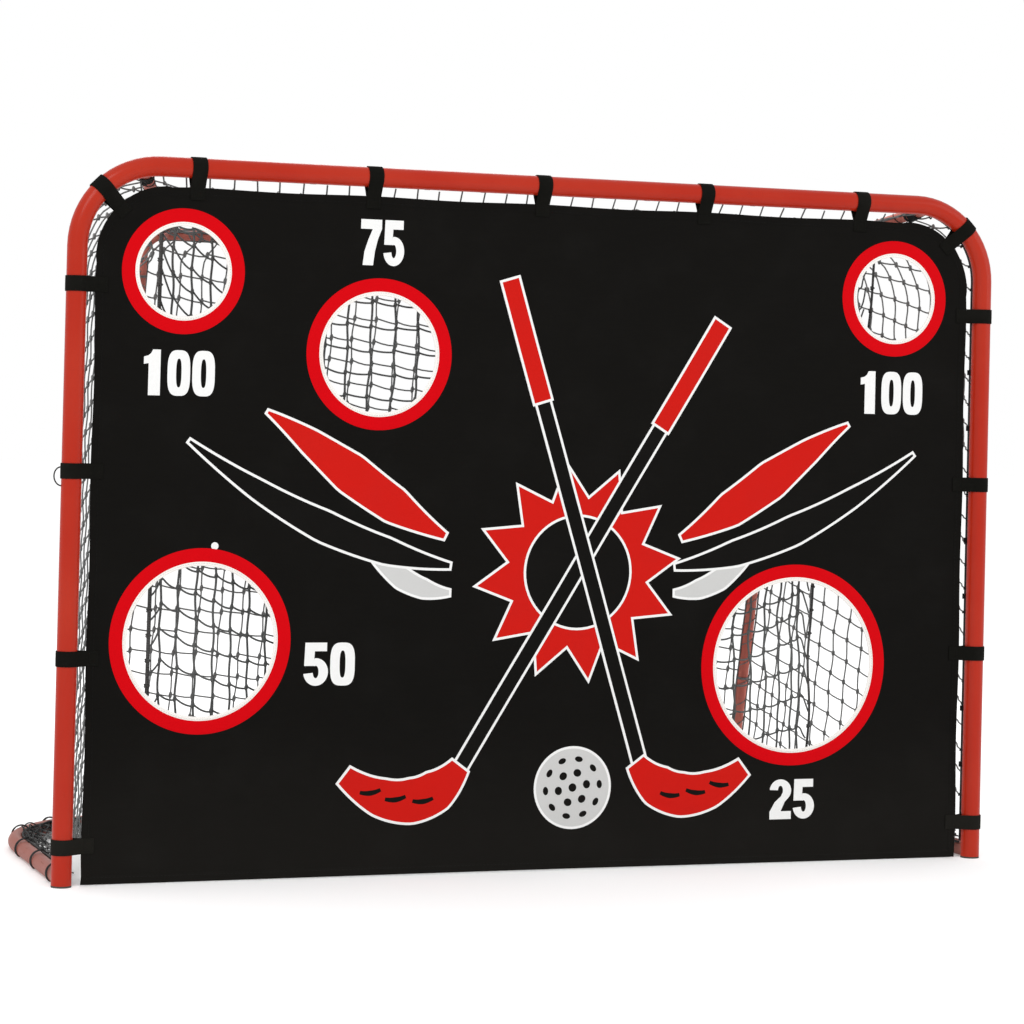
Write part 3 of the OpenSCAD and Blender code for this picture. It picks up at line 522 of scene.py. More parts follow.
# paint, faded, scuff, fading, scuffs, gloss, coat
PAINTS = {
    "hoop_paint": ((0.365, 0.013, 0.0015), (0.405, 0.027, 0.009), (0.20, 0.014, 0.006), 0.6, 0.25, 0.34, 0.20),
    "base_paint": ((0.290, 0.088, 0.064), (0.315, 0.120, 0.098), (0.13, 0.050, 0.040), 0.7, 0.55, 0.45, 0.04),
    "rear_paint": ((0.565, 0.142, 0.106), (0.540, 0.200, 0.160), (0.22, 0.070, 0.055), 0.7, 0.45, 0.45, 0.04)}
# thread, painted shade in the hollows between the strands, plaits round the cord, pitch along it, bleach
BRAIDS = {
    "net_cord": ((0.250, 0.256, 0.254), (0.120, 0.124, 0.124), 2.0, 0.0030, 0.5),
    "catch_cord": ((0.185, 0.193, 0.190), (0.085, 0.089, 0.089), 2.0, 0.0040, 0.35),
    "rope_cord": ((0.040, 0.044, 0.045), (0.014, 0.015, 0.016), 4.0, 0.0080, 0.3),
    "catch_rope": ((0.115, 0.121, 0.119), (0.040, 0.032, 0.032), 4.0, 0.0080, 0.3),
    "lacing_cord": ((0.022, 0.025, 0.026), (0.008, 0.009, 0.009), 2.0, 0.0040, 0.2)}
# cloth, rubbed, pitch of the threads, rub, dusty, sheen, relief, shine
WEAVES = {
    "plug_rubber": ((0.010, 0.010, 0.010), (0.022, 0.022, 0.020), 0.004, 0.5, 0.5, 0.6, 0.35, 0.1),
    "hook_plastic": ((0.008, 0.008, 0.008), (0.014, 0.014, 0.014), 0.02, 0.3, 0.1, 0.5, 0.1, 0.1),
    "sheet_cloth": ((0.0046, 0.0041, 0.0034), (0.0070, 0.0064, 0.0056), 0.0012, 0.7, 0.03, 0.68, 0.3, 0.06),
    "thread_black": ((0.008, 0.008, 0.008), (0.014, 0.014, 0.014), 0.0006, 0.3, 0.05, 0.6, 0.35, 0.1),
    "thread_white": ((0.70, 0.69, 0.67), (0.62, 0.60, 0.58), 0.0006, 0.3, 0.1, 0.6, 0.35, 0.25),
    "tape_white": ((0.93, 0.90, 0.86), (0.88, 0.84, 0.79), 0.0008, 0.5, 0.06, 0.7, 0.35, 0.25),
    "ring_print": ((0.650, 0.0003, 0.0040), (0.610, 0.0006, 0.0050), 0.0012, 0.5, 0.0, 0.60, 0.3, 0.05),
    "print_white": ((0.90, 0.90, 0.89), (0.84, 0.84, 0.83), 0.0012, 0.35, 0.02, 0.6, 0.3, 0.1),
    "print_red": ((0.600, 0.0100, 0.0060), (0.550, 0.012, 0.009), 0.0012, 0.5, 0.0, 0.62, 0.3, 0.06),
    "print_grey": ((0.62, 0.62, 0.61), (0.55, 0.55, 0.54), 0.0012, 0.35, 0.02, 0.6, 0.3, 0.1),
    "print_black": ((0.0050, 0.0045, 0.0038), (0.0078, 0.0070, 0.0062), 0.0012, 0.5, 0.02, 0.66, 0.3, 0.06),
    "strap_pile": ((0.0056, 0.0054, 0.0042), (0.0110, 0.0105, 0.0088), 0.0016, 0.8, 0.06, 0.8, 0.8, 0.06)}
DUST = (0.23, 0.21, 0.18)

PAINT_TAKES = ("Paint", "Faded", "Scuff", "Fading", "Scuffs", "Gloss")
BRAID_TAKES = ("Thread", "HollowShade", "Plaits", "Pitch", "Bleach")
WEAVE_TAKES = ("Cloth", "Rubbed", "Pitch", "Rub", "Dusty", "Sheen", "Dust")
painted, braided, woven = worn_paint(), braided_cord(), woven_cloth()
FINISHES = {}
for name, (*values, coat) in PAINTS.items():
    shader = {"Coat Weight": coat, "Coat Roughness": 0.16, "Specular IOR Level": 0.10}
    FINISHES[name] = finish_of(name, painted, zip(PAINT_TAKES, values), 0.25, 0.0004, shader)
for name, values in BRAIDS.items():
    shader = {"Specular IOR Level": 0.2}
    FINISHES[name] = finish_of(name, braided, zip(BRAID_TAKES, values), 0.7, 0.0005, shader)
for name, (*values, relief, shine) in WEAVES.items():
    shader = {"Specular IOR Level": shine}
    FINISHES[name] = finish_of(name, woven, zip(WEAVE_TAKES, values + [DUST]), relief, 0.0003, shader)

for node, finish in {"front_hoop": "hoop_paint", "foot_plugs": "plug_rubber", "base_hoop": "base_paint",
                     "rear_hoop": "rear_paint", "roof_arm_left": "rear_paint",
                     "roof_arm_right": "rear_paint", "net_hooks": "hook_plastic"}.items():
    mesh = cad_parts[node].data
    mesh.materials.clear()
    mesh.materials.append(FINISHES[finish])


# ---- Outer net ----

SHARE = np.linspace(0, 1, 90)
# s and t along each side of a net's surface
SIDES = {"left": (0 * SHARE, SHARE), "right": (0 * SHARE + 1, SHARE),
         "top": (SHARE, 0 * SHARE + 1), "low": (SHARE, 0 * SHARE)}


def slackened(p, share=1.0):
    """Places moved by a share of the net's small unevenness: sums of slow and quick sines
    of the place."""
    x, y, z = np.moveaxis(p, -1, 0)
    slow = spots(np.sin(9 * z + 4 * y + 0.7), np.sin(7 * x + 6 * z + 2.1), np.sin(8 * x - 5 * y + 0.3))
    quick = spots(np.sin(71 * z + 43 * x + 31 * y), np.sin(67 * x + 53 * z - 29 * y),
                  np.sin(61 * x - 47 * z + 59 * y))
    return p + share * (0.0016 * slow + 0.0013 * quick)


def knotted(surface, columns, rows, slope, cord, jog, sag, up, down=(0, 0, -1), knot=(2.2, 6.0), row_cord=None,
            bends=4):
    """A knotted square mesh on a surface of s and t from 0 to 1. Columns keep s; rows follow
    t = t0 + slope s and are cut off at the edges. Between knots a row sags, and it jogs up
    along each knot by the jog. A knot's radius and length are given in cord radii."""
    down = np.asarray(down, float)

    def strands(s0, t0, s1, t1, jogs, sags):
        share = np.linspace(0, 1, bends)
        p = slackened(surface(s0[:, None] + (s1 - s0)[:, None] * share,
                              t0[:, None] + (t1 - t0)[:, None] * share))
        fall = np.broadcast_to(sags, len(s0))[:, None] * 4 * share * (1 - share) - jogs * (0.5 - share)
        return p + down * fall[..., None]
    sx = np.concatenate([[0], columns, [1]])
    grid = rows[:, None] + slope * sx[None, :]
    s0 = np.broadcast_to(sx[:-1], grid[:, :-1].shape).ravel()
    s1 = np.broadcast_to(sx[1:], grid[:, 1:].shape).ravel()
    t0, t1 = grid[:, :-1].ravel(), grid[:, 1:].ravel()
    rise = np.where(np.abs(t1 - t0) < 1e-9, 1e-9, t1 - t0)
    cut = np.stack([-t0 / rise, (1 - t0) / rise])
    a, b = np.maximum(0, cut.min(0)), np.minimum(1, cut.max(0))
    level = np.abs(t1 - t0) < 1e-8
    a, b = np.where(level, 0, a), np.where(level, (t0 >= 0) & (t0 <= 1), b)
    keep = b - a > 0.1
    s0, s1, t0, t1, a, b = (v[keep] for v in (s0, s1, t0, t1, a, b))
    across = strands(s0 + (s1 - s0) * a, t0 + (t1 - t0) * a, s0 + (s1 - s0) * b, t0 + (t1 - t0) * b, jog,
                     sag(s0) if callable(sag) else sag)
    inner = rows[:, None] + slope * columns[None, :]
    ends = np.clip(np.concatenate([np.zeros((1, len(columns))), inner, np.ones((1, len(columns)))]), 0, 1)
    c0 = np.broadcast_to(columns, ends[1:].shape).ravel()
    e0, e1 = ends[:-1].ravel(), ends[1:].ravel()
    keep = e1 - e0 > 1e-3
    upright = strands(c0[keep], e0[keep], c0[keep], e1[keep], 0.0, 0.0)
    held = (inner > 0.002) & (inner < 0.998)
    at = slackened(surface(np.broadcast_to(columns, inner.shape)[held], inner[held]))
    lumps = knots(at, -down + np.array([0.12, 0.02, 0.05]), knot[1] * cord + abs(jog), knot[0] * cord)
    return join([cords(across, row_cord or cord, 6, up), cords(upright, cord, 6, up), lumps])


def spaced(length, pitch, shift=0.5):
    """Shares of a length at which cords of about the pitch lie."""
    n = max(2, int(round(length / pitch)))
    return (np.arange(n) + shift) / n


def borders(surface, sides, up):
    """Edge cords along the named sides of a net's surface."""
    return [cords(slackened(surface(*SIDES[side]), 0.4), EDGE_CORD, 7, up) for side in sides]


def back_surface(s, t):
    """The back: s across between the legs, t up the lean from the floor to the top bar,
    narrowed round the bar's corners."""
    reach = 0.024 + t * (LEG_LEN - 0.024 - REAR_R - OFF_TUBE)
    half = 0.6108 - 0.030 * ramp(reach, LEG_LEN - 0.055, LEG_LEN - 0.004) ** 1.6
    sag = 0.006 * np.sin(np.pi * np.clip(s, 0, 1)) * np.sin(np.pi * np.clip(t, 0, 1) ** 0.8)
    return spots((2 * s - 1) * half, FOOT[1] + LEG_UP[1] * reach + LEG_OUT[1] * sag,
                 FOOT[2] + LEG_UP[2] * reach + LEG_OUT[2] * sag)


def roof_surface(s, t):
    """The roof: s across, t from the mouth rope back to the top rear bar; its sides follow
    the two arms, it hangs a little between them, and its slack front dips under the bar."""
    y = 0.0215 + t * (REAR_Y - REAR_R - 0.0225)
    share = y / REAR_Y
    half = ARM_FRONT[0] + (ARM_REAR[0] - ARM_FRONT[0]) * share - REAR_R - OFF_TUBE
    z = ARM_FRONT[2] - 0.0075 * (1 - ramp(t, 0, 0.12)) - 0.0839 * share + 0.001
    sag = 0.0035 * np.sin(np.pi * s) * np.sin(np.pi * np.clip(t, 0, 1))
    dip = 0.026 * ramp(y, 0.0215, 0.036) * ramp(y, 0.110, 0.050) * ramp(np.minimum(s, 1 - s), 0, 0.05)
    return spots((2 * s - 1) * half, y, z - sag - dip)


def post_edge(t):
    """The side net's front edge: up the mouth rope from the floor and round its bend to the
    roof arm, by length."""
    straight = BEND_Z - WALL_FOOT
    run = t * (straight + ROPE_BEND * WALL_TURN)
    turn = np.clip((run - straight) / ROPE_BEND, 0, WALL_TURN)
    foot = 0.0080 * np.exp(-np.clip(run, 0, None) / 0.035)
    return spots(np.where(run < straight, ROPE_X - foot, BEND_X + ROPE_BEND * np.cos(turn)),
                 ROPE_Y + EDGE_ROPE + 0.002,
                 np.where(run < straight, WALL_FOOT + run, BEND_Z + ROPE_BEND * np.sin(turn)))


def leg_edge(t):
    """The side net's rear edge: up the rear leg and in over the corner to the arm."""
    reach = t * (LEG_LEN - 0.030)
    side = 0.0115 - 0.030 * ramp(t, 0.95, 1.0)
    return spots(LEG_X + side, FOOT[1] - 0.0035 + LEG_UP[1] * reach, FLOOR_LINE + LEG_UP[2] * reach)


def wall_surface(s, t):
    """The right side net: a Coons patch between the mouth rope, the rear leg, the roof arm and
    the floor line, that bellies out behind the post and a little along its run."""
    s, t = np.broadcast_arrays(np.asarray(s, float)[..., None], np.asarray(t, float)[..., None])
    front, rear = post_edge(t[..., 0]), leg_edge(t[..., 0])
    (a, c), (e, d) = post_edge(np.array([0.0, 1.0])), leg_edge(np.array([0.0, 1.0]))
    high = c + (d - c) * s + 0.004 * np.sin(np.pi * s) * [1, 0, -1]
    flat = ((1 - s) * front + s * rear + (1 - t) * (a + (e - a) * s) + t * high
            - (1 - s) * (1 - t) * a - s * (1 - t) * e - (1 - s) * t * c - s * t * d)
    belly = np.sin(np.pi * np.clip(s, 0, 1)) * np.sin(np.pi * np.clip(t, 0, 1) ** 0.7)
    out = 0.0135 * ramp(s, 0.0, 0.055) * ramp(1 - s, 0.0, 0.7) * ramp(1 - t, 0.0, 0.06)
    return flat + belly * [0.0045, -0.002, 0.0] + out * [1, 0, 0]


def beside_base(run, inset, bend):
    """The x and y of places inside the base hoop's right side: the run goes straight back and
    then round the bend, where it is measured on a circle of the given radius."""
    turn, out = (run - BASE_STRAIGHT) / bend, BASE_BEND - inset
    return (np.where(run < BASE_STRAIGHT, POST_X - inset, BASE_BEND_X + out * np.cos(turn)),
            np.where(run < BASE_STRAIGHT, SKIRT_Y + run, BASE_BEND_Y + out * np.sin(turn)))


def skirt_surface(s, t):
    """The side net's foot: s along, t out over the floor from the wall's foot line to the
    base hoop, where it climbs to the hem rope."""
    a, e = post_edge(np.zeros(1))[0], leg_edge(np.zeros(1))[0]
    low = a + (e - a) * s[..., None]
    inset = HEM_IN + 0.003
    bend = BASE_BEND - inset
    rim = spots(*beside_base(s * (BASE_STRAIGHT + bend * np.radians(66)), inset, bend), FLOOR_LINE)
    out = low + (rim - low) * t[..., None]
    crease = 0.0030 * np.abs(np.sin(23 * s + 5 * t)) * np.sin(np.pi * np.clip(t, 0, 1))
    out[..., 2] += 0.0155 * ramp(t, 0.55, 1.0) + crease
    return out


back_net = knotted(back_surface, spaced(1.216, 0.041), np.arange(0.02, 1.09, 0.0385), -0.085, MESH_CORD,
                   0.0045, 0.0014, (0, 1, 0.2))
back_edges = borders(back_surface, ("left", "right", "top", "low"), (0, 1, 0))
add_piece("knotted_net_back", join([back_net] + back_edges), "net_cord", ["net_back"])
roof_net = knotted(roof_surface, spaced(35, 1), np.arange(0.15, 0.99, 0.116), 0.0, MESH_CORD, 0.0, 0.0006,
                   (0, 0, 1), knot=(2.2, 5.0))
roof_edges = borders(roof_surface, ("left", "right", "top"), (0, 0, 1))
add_piece("knotted_net_roof", join([roof_net] + roof_edges), "net_cord", ["net_roof"])
wall_rows = np.arange(-0.27, 1.0, 0.0360)
wall_net = knotted(wall_surface, spaced(0.60, 0.0375, 1.0)[:-1], wall_rows, 0.27, MESH_CORD, 0.0020, 0.0016,
                   (1, 0.35, 0))
skirt_net = knotted(skirt_surface, spaced(0.62, 0.041), np.array([0.33, 0.66]), 0.0, MESH_CORD, 0.0,
                    0.0, (0, 0, 1), down=(0, 0, -0.2), knot=(1.9, 5.0))
wall_edges = borders(wall_surface, ("right", "top", "low"), (1, 0, 0))
add_pair("knotted_net_", join([wall_net, skirt_net] + wall_edges), "net_cord", "net_side_")


# ---- Ropes and lashings of the frame ----

def mouth_rope():
    """Up, over and down inside the front hoop: two straights, two quarter turns and a bar."""
    turn = np.linspace(0, np.pi / 2, 24)[1:]
    half = np.concatenate([
        spots(ROPE_X, ROPE_Y, np.linspace(0.0275, BEND_Z, 46)),
        spots(BEND_X + ROPE_BEND * np.cos(turn), ROPE_Y, BEND_Z + ROPE_BEND * np.sin(turn)),
        spots(np.linspace(BEND_X, 0, 46)[1:], ROPE_Y, ROPE_TOP)])
    return cords(np.concatenate([half, half[-2::-1] * [-1, 1, 1]]), EDGE_ROPE, 12)


def net_hitches():
    """The net's edge cells hitch on to the mouth rope with one turn each, and a loose end of
    the lacing cord loops out beside the left post's third strap."""
    turn = np.linspace(1.1, 5.2, 40)
    loose = cords(spots(-POST_X - 0.0155 + 0.0120 * np.cos(turn), 0.004 + 0.003 * np.sin(turn),
                        0.655 + 0.015 * np.sin(turn)), TIE_CORD, 7)
    front = slackened(wall_surface(0, wall_rows[(wall_rows > 0) & (wall_rows < 1)]))
    post = wraps(front - [0, 0.0045, 0], unit(np.gradient(front, axis=0)), 0.003, EDGE_ROPE + 0.0003,
                 MESH_CORD, 1.1, 0.4)
    bar = wraps(spots(np.linspace(-0.695, 0.695, 35), ROPE_Y, ROPE_TOP), (1, 0, 0), 0.003, EDGE_ROPE + 0.0003,
                MESH_CORD, 1.1, 1.1)
    return join([loose, both_sides(post), bar])


def hem_rope():
    """The right hem rope: back along the base tube and round its bend."""
    run, turn = np.linspace(0.02175, BASE_BEND_Y, 40), np.linspace(0, HEM_TURN, 40)[1:]
    bend = BASE_BEND - HEM_IN
    x = np.concatenate([np.full(40, POST_X - HEM_IN), BASE_BEND_X + bend * np.cos(turn)])
    return cords(spots(x, np.concatenate([run, BASE_BEND_Y + bend * np.sin(turn)]), BASE_R + HEM_IN),
                 EDGE_ROPE, 12, (0, 0, 1))


def net_heap():
    """Slack net heaped inside the base hoop's right side and bend: cords that follow the hoop
    and wander in and up as sums of sines of the way along, highest at the bend."""
    k = np.arange(13)[:, None]
    run = np.linspace(0.12, 1, 120)[None] * (BASE_STRAIGHT + BASE_BEND * np.radians(62))
    bunch = np.exp(-((run - BASE_STRAIGHT - 0.06) / 0.12) ** 2)
    inset = 0.017 + 0.0016 * k + 0.006 * np.sin(31 * run + 2.1 * k) + 0.0030 * np.sin(79 * run - 1.3 * k)
    climb = (0.010 + 0.018 * bunch) * (0.5 + 0.5 * np.sin(23 * run + 1.7 * k)) + 0.0025 * np.sin(71 * run + k)
    z = np.maximum(BASE_R + 0.004 + climb - 0.35 * inset, 0.002)
    return cords(spots(*beside_base(run, inset, BASE_BEND), z), TIE_CORD, 5, (0, 0, 1))


def base_lashing(centre, along, inward, lean, gap):
    """A lashing round the base tube and its hem rope: each of its two turns is an open loop
    that passes over the tube's top and is left out where the tube lies on the floor."""
    centre, along, inward = (np.asarray(v, float) for v in (centre, along, inward))
    up = np.array([0.0, 0, 1.0])
    middle = centre + (inward * np.cos(lean) + up * np.sin(lean)) * 0.0022
    k, t = np.arange(2)[:, None, None], np.linspace(0, 1, 40)[:, None]
    turn = -np.pi / 2 + gap + t * (2 * np.pi - 2 * gap)
    loops = (middle + (inward * np.cos(turn) + up * np.sin(turn)) * 0.0166
             + along * ((k - 0.5) * 0.0046 + 0.0018 * np.sin(t * 6.0 + k)))
    loops[..., 2] = np.maximum(loops[..., 2], 0.0022)
    return cords(loops, TIE_CORD, 6, along)


def base_lashings():
    """Lashings along the sides, round the two bends and along the back of the base hoop."""
    lean, gap = np.pi / 4, np.radians(34)
    parts = [both_sides(base_lashing((POST_X, y, BASE_R), (0, 1, 0), (-1, 0, 0), lean, gap))
             for y in SIDE_TIES]
    for a in np.radians([25, 50]):
        out = np.array([np.cos(a), np.sin(a), 0])
        centre = np.array([BASE_BEND_X, BASE_BEND_Y, BASE_R]) + BASE_BEND * out
        parts.append(both_sides(base_lashing(centre, (-out[1], out[0], 0), -out, lean, gap)))
    parts += [base_lashing((x, BACK_Y, BASE_R), (1, 0, 0), (0, -1, 0), np.pi / 2, np.radians(36))
              for x in BACK_TIES]
    tops = spots(POST_X - 0.004, SIDE_TIES, 0.0335)
    places = np.concatenate([tops, tops * [-1, 1, 1], spots(BACK_TIES, BACK_Y - 0.006, 0.0345)])
    return join(parts + [knots(places, (0.6, 0.5, 0.1), 0.012, 0.0030)])


def tied(places, axis, start, off, lean, length, radius):
    """Doubled ties round a rear tube, each with its knot off to one side."""
    return join([wraps(places, axis, 0.0045, REAR_R + TIE_CORD, TIE_CORD, 2.0, start),
                 knots(places + off, lean, length, radius)])


def rear_lacing():
    """A lacing cord winds up each rear leg and along the top bar, one turn to a mesh, with a
    doubled and knotted tie at each fixing."""
    leg = lacing(FOOT + LEG_UP * 0.030, FOOT + LEG_UP * (LEG_LEN - 0.055), (0, 1, 0))
    bar = lacing((-0.575, REAR_Y, REAR_Z), (0.575, REAR_Y, REAR_Z), (0, 0, -1))
    leg_ties = tied(FOOT + LEG_UP * np.linspace(0.077, LEG_LEN - 0.075, 6)[:, None], LEG_UP, 0.5,
                    [0.004, 0.0118, 0.0], (0.5, 0, 0.8), 0.009, 0.0022)
    bar_ties = tied(spots(np.linspace(-0.522, 0.522, 7), REAR_Y, REAR_Z), (1, 0, 0), 0.9,
                    [0, -0.0045, -0.0115], (0.8, 0.4, 0.2), 0.009, 0.0022)
    return join([both_sides(leg), bar, both_sides(leg_ties), bar_ties])


def arm_lacing():
    """A lacing cord winds along each roof arm, and the net is bunched and wound
    several times where the arm meets the crossbar."""
    axis = ARM_REAR - ARM_FRONT
    arm = lacing(ARM_FRONT + axis * 0.075, ARM_FRONT + axis * 0.955, (0, 0, -1))
    ties = tied(ARM_FRONT + axis * np.array([[0.14], [0.5], [0.86]]), axis, 0.2, [0.004, 0, -0.0115],
                (0.7, 0.7, 0), 0.010, 0.0028)
    bunch = wraps(ARM_FRONT + axis * 0.105, axis, 0.018, 0.0120, 0.0015, 6.0, 0.2)
    return both_sides(join([arm, ties, bunch]))


def hanger_cords():
    """Nine stretched loops: half a turn under the top rope, two straights and half a turn
    over the roof net, with a small knot where the cord is tied off."""
    radius, stretch = 0.0060, 0.03936
    turn = np.concatenate([np.linspace(np.pi, 2 * np.pi, 12), np.linspace(0, np.pi, 12)])
    loop = spots(0, radius * np.cos(turn), radius * np.sin(turn) + np.repeat([0, stretch], 12))
    places = spots(np.linspace(-HANGER_END, HANGER_END, 9), CATCH_Y, CATCH_TOP)
    loops = cords(places[:, None] + loop, HANGER_CORD, 7, (1, 0, 0), closed=True)
    return join([loops, knots(places + [0, -0.006, stretch * 0.62], (0, 0.2, 1), 0.011, 0.0027)])


back_hem = cords(spots(np.linspace(-0.6067, 0.6067, 80), BACK_Y, BASE_R + 0.0163), EDGE_ROPE, 12, (0, 0, 1))
add_piece("mouth_rope", mouth_rope(), "rope_cord", ["net_mouth_rope"])
add_piece("net_hitches", net_hitches(), "lacing_cord")
add_pair("hem_rope_", hem_rope(), "rope_cord", "net_hem_rope_")
add_piece("hem_rope_back", back_hem, "rope_cord", ["net_hem_rope_back"])
add_pair("net_slack_", net_heap(), "lacing_cord")
add_piece("base_lashings", base_lashings(), "lacing_cord", ["base_ties"])
add_piece("rear_lacing", rear_lacing(), "net_cord", ["rear_ties"])
add_piece("arm_lacing", arm_lacing(), "lacing_cord", ["arm_ties"])
add_piece("hanger_cords", hanger_cords(), "lacing_cord", ["hanger_loops"])


# ---- Hanging net ----

def catch_left(z):
    """The left edge, which leans in by 8 mm over its height."""
    return -0.660 + 0.008 * z / CATCH_TOP


def catch_right(z):
    """The right edge: straight, gathered in between the two heights, and straight again."""
    return (0.550 + 0.104 * ramp(z, 0.42, 0.93) + 0.008 * ramp(z, 0.90, 1.08)
            + 0.0026 * np.sin(33 * z - 0.4) * ramp(z, 1.05, 0.9))


def catch_surface(s, t):
    """The hanging net: s across from edge to edge, t up. Rows hang from the edge ropes: they
    climb (low down) or drop (near the top) in the first cell beside a rope and then fall
    as exp(-distance / reach), the reach 0.18 low down and 0.105 near the top."""
    z0 = CATCH_LOW + 0.004 + t * (CATCH_RIM - CATCH_LOW - 0.004)
    left, right = catch_left(z0), catch_right(z0)
    x = left + (right - left) * s
    from_left, from_right = x - left, right - x
    steep = 0.020 + 0.092 * ramp(z0, 0.06, 0.34) + 0.040 * ramp(z0, 0.50, 0.85)
    reach = 0.18 - 0.075 * ramp(z0, 0.50, 0.85)
    rise = 0.42 - 0.60 * ramp(z0, 0.50, 0.85)
    z = z0 + steep * np.exp(-from_left / reach) + 0.8 * steep * np.exp(-from_right / reach)
    z = z - rise * steep * (np.clip(1 - from_left / 0.023, 0, 1) + np.clip(1 - from_right / 0.010, 0, 1))
    z = z - 0.030 * ramp(z0, 0.3, 0.0) * np.sin(np.pi * s)
    z = np.where(z > CATCH_RIM - 0.05, CATCH_RIM - 0.05 * np.exp(-(z - CATCH_RIM + 0.05) / 0.05), z)
    y = (CATCH_Y + 0.0045 * np.sin(26 * s + 2.0 * t) * ramp(1 - t, 0.0, 0.3)
         + 0.0028 * np.sin(61 * s - 3 * t) * ramp(1 - t, 0.0, 0.3))
    return spots(x, y, z)


def catch_columns():
    """Shares of the width at which the uprights hang: 30 mm apart near both edges, 38 mm in
    the middle, with two more beside the right rope."""
    width, at, places = 1.213, 0.022, []
    while at < width - 0.050:
        places.append(at)
        at += 0.0300 + 0.0084 * ramp(at, 0.18, 0.29) - 0.0084 * ramp(at, 0.98, 1.06)
    return np.array(places + [width - 0.032, width - 0.018]) / width


def catch_sag(s):
    """How far a row sags in one cell: more beside the ropes than in the middle."""
    return 0.0016 + 0.0030 * np.exp(-np.minimum(s, 1 - s) / 0.14)


def side_rope(name, edge, radius, node):
    """A border rope down the hanging net's edge, hitched to each row and whipped at its foot."""
    z, rows = np.linspace(CATCH_LOW, CATCH_TOP - 0.0045, 150), np.arange(0.10, 1.05, 0.0415)
    path = spots(edge(z), CATCH_Y, z)
    whip = wraps(path[2:3] + [0, 0, 0.004], (0, 0, 1), 0.010, radius + 0.001, TIE_CORD, 6.0)
    turns = wraps(spots(edge(rows), CATCH_Y, rows), (0, 0, 1), 0.004, radius + 0.0005, HITCH_CORD, 1.2, 0.2)
    add_piece(name, join([cords(path, radius, 14), whip, turns]), "catch_rope", [node], "hanging_net")


columns = catch_columns()
hanging = knotted(catch_surface, columns, spaced(1.01, 0.0400, 0.98)[:-1], 0.0, CATCH_CORD, 0.0040, catch_sag,
                  (0, 1, 0), knot=(1.5, 3.4), row_cord=CATCH_ROW, bends=7)
hanging = join([hanging, cords(slackened(catch_surface(*SIDES["low"])), CATCH_FOOT, 7)])
add_piece("knotted_net_hanging", hanging, "catch_cord", ["catch_net"], "hanging_net")

# The uprights hitch on to the top rope, except where a hanger's loop takes the room
rim_x = catch_surface(columns, np.ones_like(columns))[:, 0]
rim_x = rim_x[np.abs((rim_x + HANGER_END + HANGER_PITCH / 2) % HANGER_PITCH - HANGER_PITCH / 2) > 0.006]
top_rope = join([
    cords(spots(np.linspace(-0.652, 0.662, 160), CATCH_Y, CATCH_TOP), CATCH_ROPE, 14),
    wraps(spots(rim_x, CATCH_Y, CATCH_TOP), (1, 0, 0), 0.004, CATCH_ROPE + 0.0005, HITCH_CORD, 1.2, 0.7),
    wraps(spots([-0.6485, 0.6585], CATCH_Y, CATCH_TOP), (1, 0, 0), 0.0085, CATCH_ROPE + 0.001, TIE_CORD, 5.0)])
add_piece("hanging_top_rope", top_rope, "catch_rope", ["catch_rope_top"], "hanging_net")
side_rope("hanging_left_rope", catch_left, CATCH_ROPE, "catch_rope_left")
side_rope("hanging_right_rope", catch_right, GATHER_ROPE, "catch_rope_right")


# ---- Target sheet ----

def outline(step=0.012):
    """The sheet's outline, anticlockwise, with its two round top corners; between the straps
    its sides draw in by up to 2 mm as sin^2 of the way from strap to strap."""
    def pull(way, places):
        places = np.asarray(places)
        k = np.clip(np.searchsorted(places, way) - 1, 0, len(places) - 2)
        share = (way - places[k]) / (places[k + 1] - places[k])
        return 0.0020 * np.sin(np.pi * np.clip(share, 0, 1)) ** 2
    r = SHEET_CORNER
    x = np.arange(-SHEET_HALF, SHEET_HALF, step)
    low = np.stack([x, SHEET_LOW + 0.0012 * np.sin(np.pi * (x / SHEET_HALF + 1) / 2) ** 2], -1)
    z = np.arange(SHEET_LOW, SHEET_TOP - r, step)
    right = np.stack([SHEET_HALF - pull(z, [SHEET_LOW - 0.1] + STRAP_SIDE_Z + [1.09]), z], -1)
    corner = arc(SHEET_HALF - r, SHEET_TOP - r, r, r, 0, 90, 28)
    x = np.arange(SHEET_HALF - r, -(SHEET_HALF - r), -step)[1:]
    top = np.stack([x, SHEET_TOP - pull(x, [-0.75] + STRAP_TOP_X + [0.75])], -1)
    return np.concatenate([low, right, corner, top, (corner * [-1, 1])[::-1], (right * [-1, 1])[::-1][:-1]])


edge_line = outline()
edge_inward = leftward(unit(np.roll(edge_line, -1, 0) - np.roll(edge_line, 1, 0)))
hole_lines = [circle(x, z, r - BINDING_W / 2) for x, z, r in HOLES.values()]
target = add_piece("target_cloth", slab([edge_line] + hole_lines, 0.0125, -SHEET_T / 2, SHEET_T / 2),
                   "sheet_cloth", ["target_sheet"])


def hem_tape():
    """The sheet's edge tape: a flat fold 14 mm wide round the outline, on both faces."""
    profile = np.array([[-0.0006, -0.0002], [-0.0004, -0.0008], [0.0006, -0.0011], [0.0130, -0.0011],
                        [0.0140, -0.0006], [0.0140, 0.0006], [0.0130, 0.0011], [0.0006, 0.0011],
                        [-0.0004, 0.0008], [-0.0006, 0.0002]])
    rings = on_cloth(edge_line[:, None] + edge_inward[:, None] * profile[:, :1], profile[:, 1])
    return carried(rings, rings[..., [0, 2]])


